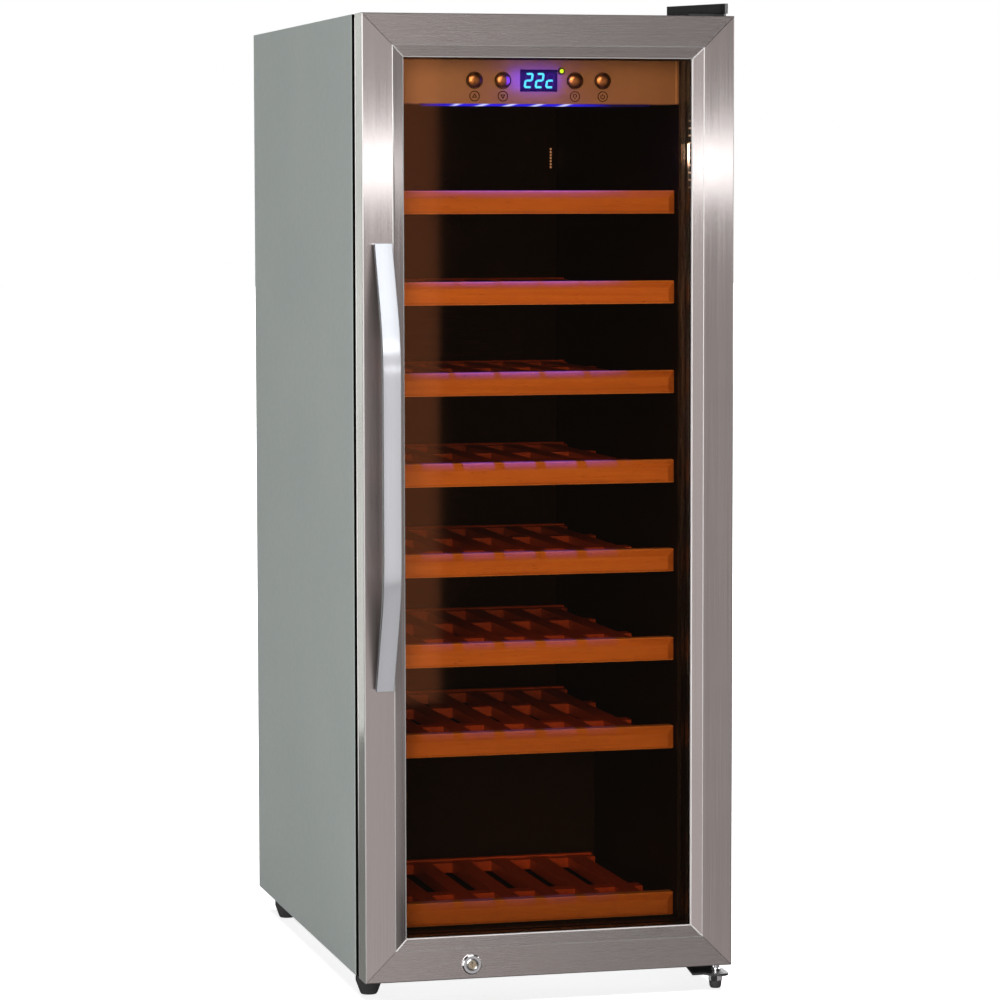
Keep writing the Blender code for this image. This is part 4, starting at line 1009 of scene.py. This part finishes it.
def make_handle():
    """The bar, and the two posts that hold it off the door."""
    cx, half = (HANDLE_LO.x + HANDLE_HI.x) / 2, (HANDLE_HI.x - HANDLE_LO.x) / 2
    path = handle_path()
    first, last = (path[1] - path[0]).normalized(), (path[-1] - path[-2]).normalized()
    # each station: its point, the way along the bar, and how far its outline is drawn in
    stations = [(path[0], first, END_CHAMFER), (path[0] + first * END_CHAMFER, first, 0.0)]
    stations += [(here, (after - before).normalized(), 0.0)
                 for before, here, after in zip(path, path[1:], path[2:])]
    stations += [(path[-1] - last * END_CHAMFER, last, 0.0), (path[-1], last, END_CHAMFER)]
    bm = bmesh.new()
    section = bar_section(half)
    rows = []
    for point, along, inset in stations:
        across = Vector((along.y, -along.x))
        scale_x, scale_t = (half - inset) / half, (BAR_HALF - inset) / BAR_HALF
        rows.append([bm.verts.new((cx + x * scale_x, point.x - across.x * t * scale_t,
                                   point.y - across.y * t * scale_t)) for x, t in section])
    skin(bm, rows)
    bar = finished("handle_bar", bm, "handle", "door")
    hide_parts("door_handle")
    bm = bmesh.new()
    for z in (HANDLE_HI.z - POST_INSET, HANDLE_LO.z + POST_INSET):
        add_turned(bm, (cx, z), [(radius, DOOR_LO.y - out) for radius, out in POST_PROFILE], 24,
                   closed=False)
    finished("handle_posts", bm, "handle", "door")


make_handle()
button_symbols()
display_digits()
led_collar()
lock_ring()
panel_ridge()
glint_beads()
rail_edges()
rail_hem()
rail_mitres()
filter_drier()
back_screws()
hinge_screws()


# ---------------------------------------------------------------- stage and light
def floor_material():
    look = Look("pale_floor")
    cloud = look.noise(3.0, 3.0)
    look.color(look.ramp(cloud, (0.3, 0.90), (0.7, 0.93)))
    look.drive(look.ramp(cloud, (0.3, 0.97), (0.7, 1.0)), "Emission Color")
    look.set(Roughness=0.9, Emission_Strength=0.86)
    return look.material


def make_floor():
    bm = bmesh.new()
    bmesh.ops.create_grid(bm, x_segments=4, y_segments=4, size=30.0)
    mesh = bpy.data.meshes.new("floor")
    bm.to_mesh(mesh)
    bm.free()
    mesh.materials.append(floor_material())
    floor = placed("floor", mesh)
    floor.visible_glossy = False
    floor.visible_shadow = False


def area_light(name, position, target, size, radiance, color, receivers=None):
    """A rectangle of even brightness; its power follows from its size."""
    data = bpy.data.lights.new(name, "AREA")
    data.shape = "RECTANGLE"
    data.size, data.size_y = size
    data.energy = radiance * math.pi * size[0] * size[1]
    data.color = color
    light = placed(name, data)
    light.location = position
    aim = (Vector(target) - Vector(position)).normalized()
    light.rotation_euler = aim.to_track_quat("-Z", "Y").to_euler()
    light.visible_camera = False
    if receivers:
        light.light_linking.receiver_collection = receivers


def make_world():
    """White to the camera, and a dim fill for the rest."""
    world = bpy.data.worlds.new("studio")
    bpy.context.scene.world = world
    world.use_nodes = True
    tree = world.node_tree
    fill, white = tree.nodes["Background"], tree.nodes.new("ShaderNodeBackground")
    for background, strength in ((fill, 0.028), (white, 1.0)):
        background.inputs["Color"].default_value = (1.0, 1.0, 1.0, 1.0)
        background.inputs["Strength"].default_value = strength
    path = tree.nodes.new("ShaderNodeLightPath")
    mixed = tree.nodes.new("ShaderNodeMixShader")
    tree.links.new(path.outputs["Is Camera Ray"], mixed.inputs[0])
    tree.links.new(fill.outputs[0], mixed.inputs[1])
    tree.links.new(white.outputs[0], mixed.inputs[2])
    tree.links.new(mixed.outputs[0], tree.nodes["World Output"].inputs["Surface"])


WHITE = (1.0, 1.0, 1.0)
WARM = (1.0, 0.945, 0.935)
GREENISH = (0.93, 1.0, 0.95)
COOL = (0.95, 0.98, 1.0)
MIDDLE = (0.0, -0.27, 0.5)

# Each light: group that it reaches, name, place, aim, size, radiance, colour.
# The rest of the object has soft boxes all round, but none where its front would
# mirror one to the camera. The steel, which only mirrors, has wide dim cards, and a narrow
# bright one whose reflection crosses the upper frame.
LIGHTS = (
    ("rest", "front", (-1.3, -4.4, 1.5), (0, 0, 0.5), (2.6, 2.6), 10.8, WHITE),
    ("rest", "overhead", (0.0, -0.6, 3.6), (0, 0, 0.5), (3.0, 3.0), 1.4, WHITE),
    ("rest", "left", (-4.2, -0.8, 0.4), (0, 0, 0.5), (2.6, 2.6), 2.0, WHITE),
    ("rest", "behind", (1.6, 4.5, 2.0), (0, 0, 0.5), (3.0, 3.0), 3.2, WHITE),
    ("rest", "right", (4.2, 0.6, 1.6), (0, 0, 0.5), (2.4, 2.4), 3.3, WHITE),
    ("steel", "steel_room", (0.9, -4.6, 0.5), (0.9, 0, 0.5), (5.8, 3.6), 0.295, WARM),
    ("steel", "steel_wash", (-0.8, -4.55, 0.5), (-0.8, 0, 0.5), (3.3, 3.6), 0.22, WARM),
    ("steel", "steel_edge", (-0.5, -4.5, 0.5), (-0.5, 0, 0.5), (3.4, 3.6), 0.14, WARM),
    ("steel", "steel_high", (0.2, -4.5, 1.12), (0.2, 0, 1.12), (1.8, 0.5), 0.14, WARM),
    ("steel", "steel_low", (0.2, -4.5, -0.7), (0.2, 0, -0.7), (1.6, 1.0), 0.22, WARM),
    ("steel", "steel_aside", (4.0, -3.2, 0.3), MIDDLE, (2.6, 4.2), 0.16, WARM),
    ("steel", "steel_below", (0.4, -2.0, -1.5), MIDDLE, (4.0, 2.6), 0.28, WARM),
    ("steel", "steel_above", (0.0, -1.8, 3.6), MIDDLE, (2.4, 1.6), 0.9, WARM),
    ("steel", "steel_right", (4.2, 0.6, 1.6), MIDDLE, (2.4, 2.4), 1.1, WHITE),
    ("steel", "steel_side", (-1.5, 4.4, 0.575), (-0.2, -0.27, 0.575), (2.2, 1.95), 1.13, GREENISH),
    ("steel", "steel_side_low", (-1.5, 4.4, -1.15), (-0.2, -0.27, -0.05), (2.2, 1.5), 0.33,
     GREENISH),
    ("steel", "band", (1.1, -4.2, 0.90), (1.1, 0, 0.90), (4.4, 0.10), 3.2, COOL),
    ("handle", "handle_above", (0.2, -3.0, 2.7), MIDDLE, (3.0, 3.0), 2.4, COOL),
    ("handle", "handle_front", (0.9, -4.4, 0.5), (0.9, 0, 0.5), (3.0, 3.2), 0.85, COOL),
    ("handle", "handle_below", (0.3, -1.8, -1.2), MIDDLE, (2.4, 2.0), 0.55, COOL),
    ("glass", "haze", (-0.69, -3.3, 1.2), (-0.69, 0, 1.2), (2.6, 2.6), 0.55, (1.0, 0.40, 0.20)),
    ("steel", "far_left", (-4.5, -2.4, 0.8), MIDDLE, (3.0, 4.0), 0.30, WARM),
    ("steel", "far_right", (4.8, -1.2, 0.6), MIDDLE, (2.5, 3.5), 0.35, WARM),
    ("steel", "back_right", (3.0, 3.5, 0.8), MIDDLE, (2.5, 3.5), 0.60, WHITE),
    ("steel", "top_back", (0.0, 3.0, 3.4), MIDDLE, (3.0, 2.0), 0.50, WHITE),
)


# bright small metal, which has both the object's lights and the steel's
BRIGHT = ("button_up", "button_down", "button_light", "button_power", "lock_barrel", "lock_core",
          "lock_ring", "bottom_hinge_pin", "bottom_hinge_nut")


def group_of(name):
    """The lighting group of an object."""
    if name in ("outer_glass", "inner_glass"):
        return "glass"
    if name.startswith("door_frame_"):
        return "steel"
    if name.startswith("handle_") or name == "door_handle":
        return "handle"
    return "floor" if name == "floor" else "rest"


def make_lights():
    groups = {key: bpy.data.collections.new("lit_" + key)
              for key in ("rest", "steel", "handle", "glass", "floor")}
    for thing in bpy.context.scene.objects:
        if thing.type == "MESH":
            key = group_of(thing.name)
            groups[key].objects.link(thing)
            if key == "handle" or thing.name in BRIGHT:
                groups["steel"].objects.link(thing)
    for key, name, position, target, size, radiance, color in LIGHTS:
        area_light(name, position, target, size, radiance, color, groups[key])
    # the white floor, with a soft shadow under the feet
    sun = bpy.data.lights.new("floor_sun", "SUN")
    sun.energy = 4.0
    sun.angle = math.radians(50)
    placed("floor_sun", sun).light_linking.receiver_collection = groups["floor"]
    # the lamp's own light, and the display's reflection from the pane onto the panel
    lens_lo, lens_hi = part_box("lamp_lens")
    lens_y = (lens_lo.y + lens_hi.y) / 2
    area_light("lamp", (0.0, lens_y, lens_lo.z - 0.001), (0.0, lens_y, 0.0), (0.22, 0.008), 45.0,
               (0.10, 0.06, 1.0))
    panel_z = (PANEL_LO.z + PANEL_HI.z) / 2 - 0.002
    area_light("display_bounce", (-0.004, FACE - 0.010, panel_z), (-0.004, 0.0, panel_z),
               (0.052, 0.018), 11.0, (0.05, 0.02, 1.0))


# the camera, fitted to the photo's edges
CAMERA_AT = (-1.0275, -4.0840, 0.8389)
YAW, PITCH, ROLL = (math.radians(angle) for angle in (14.3278, -4.5718, -0.0971))
LENS = 138.18


def make_camera():
    data = bpy.data.cameras.new("camera")
    data.sensor_width = 36.0
    data.lens = LENS
    data.clip_end = 100.0
    aim = Vector((math.sin(YAW) * math.cos(PITCH), math.cos(YAW) * math.cos(PITCH),
                  math.sin(PITCH)))
    turned = aim.to_track_quat("-Z", "Y").to_matrix().to_4x4()
    camera = placed("camera", data)
    camera.matrix_world = (Matrix.Translation(CAMERA_AT) @ turned
                           @ Matrix.Rotation(ROLL, 4, "Z"))
    bpy.context.scene.camera = camera


make_floor()
make_world()
make_lights()
make_camera()
bpy.context.scene.view_settings.view_transform = "Standard"
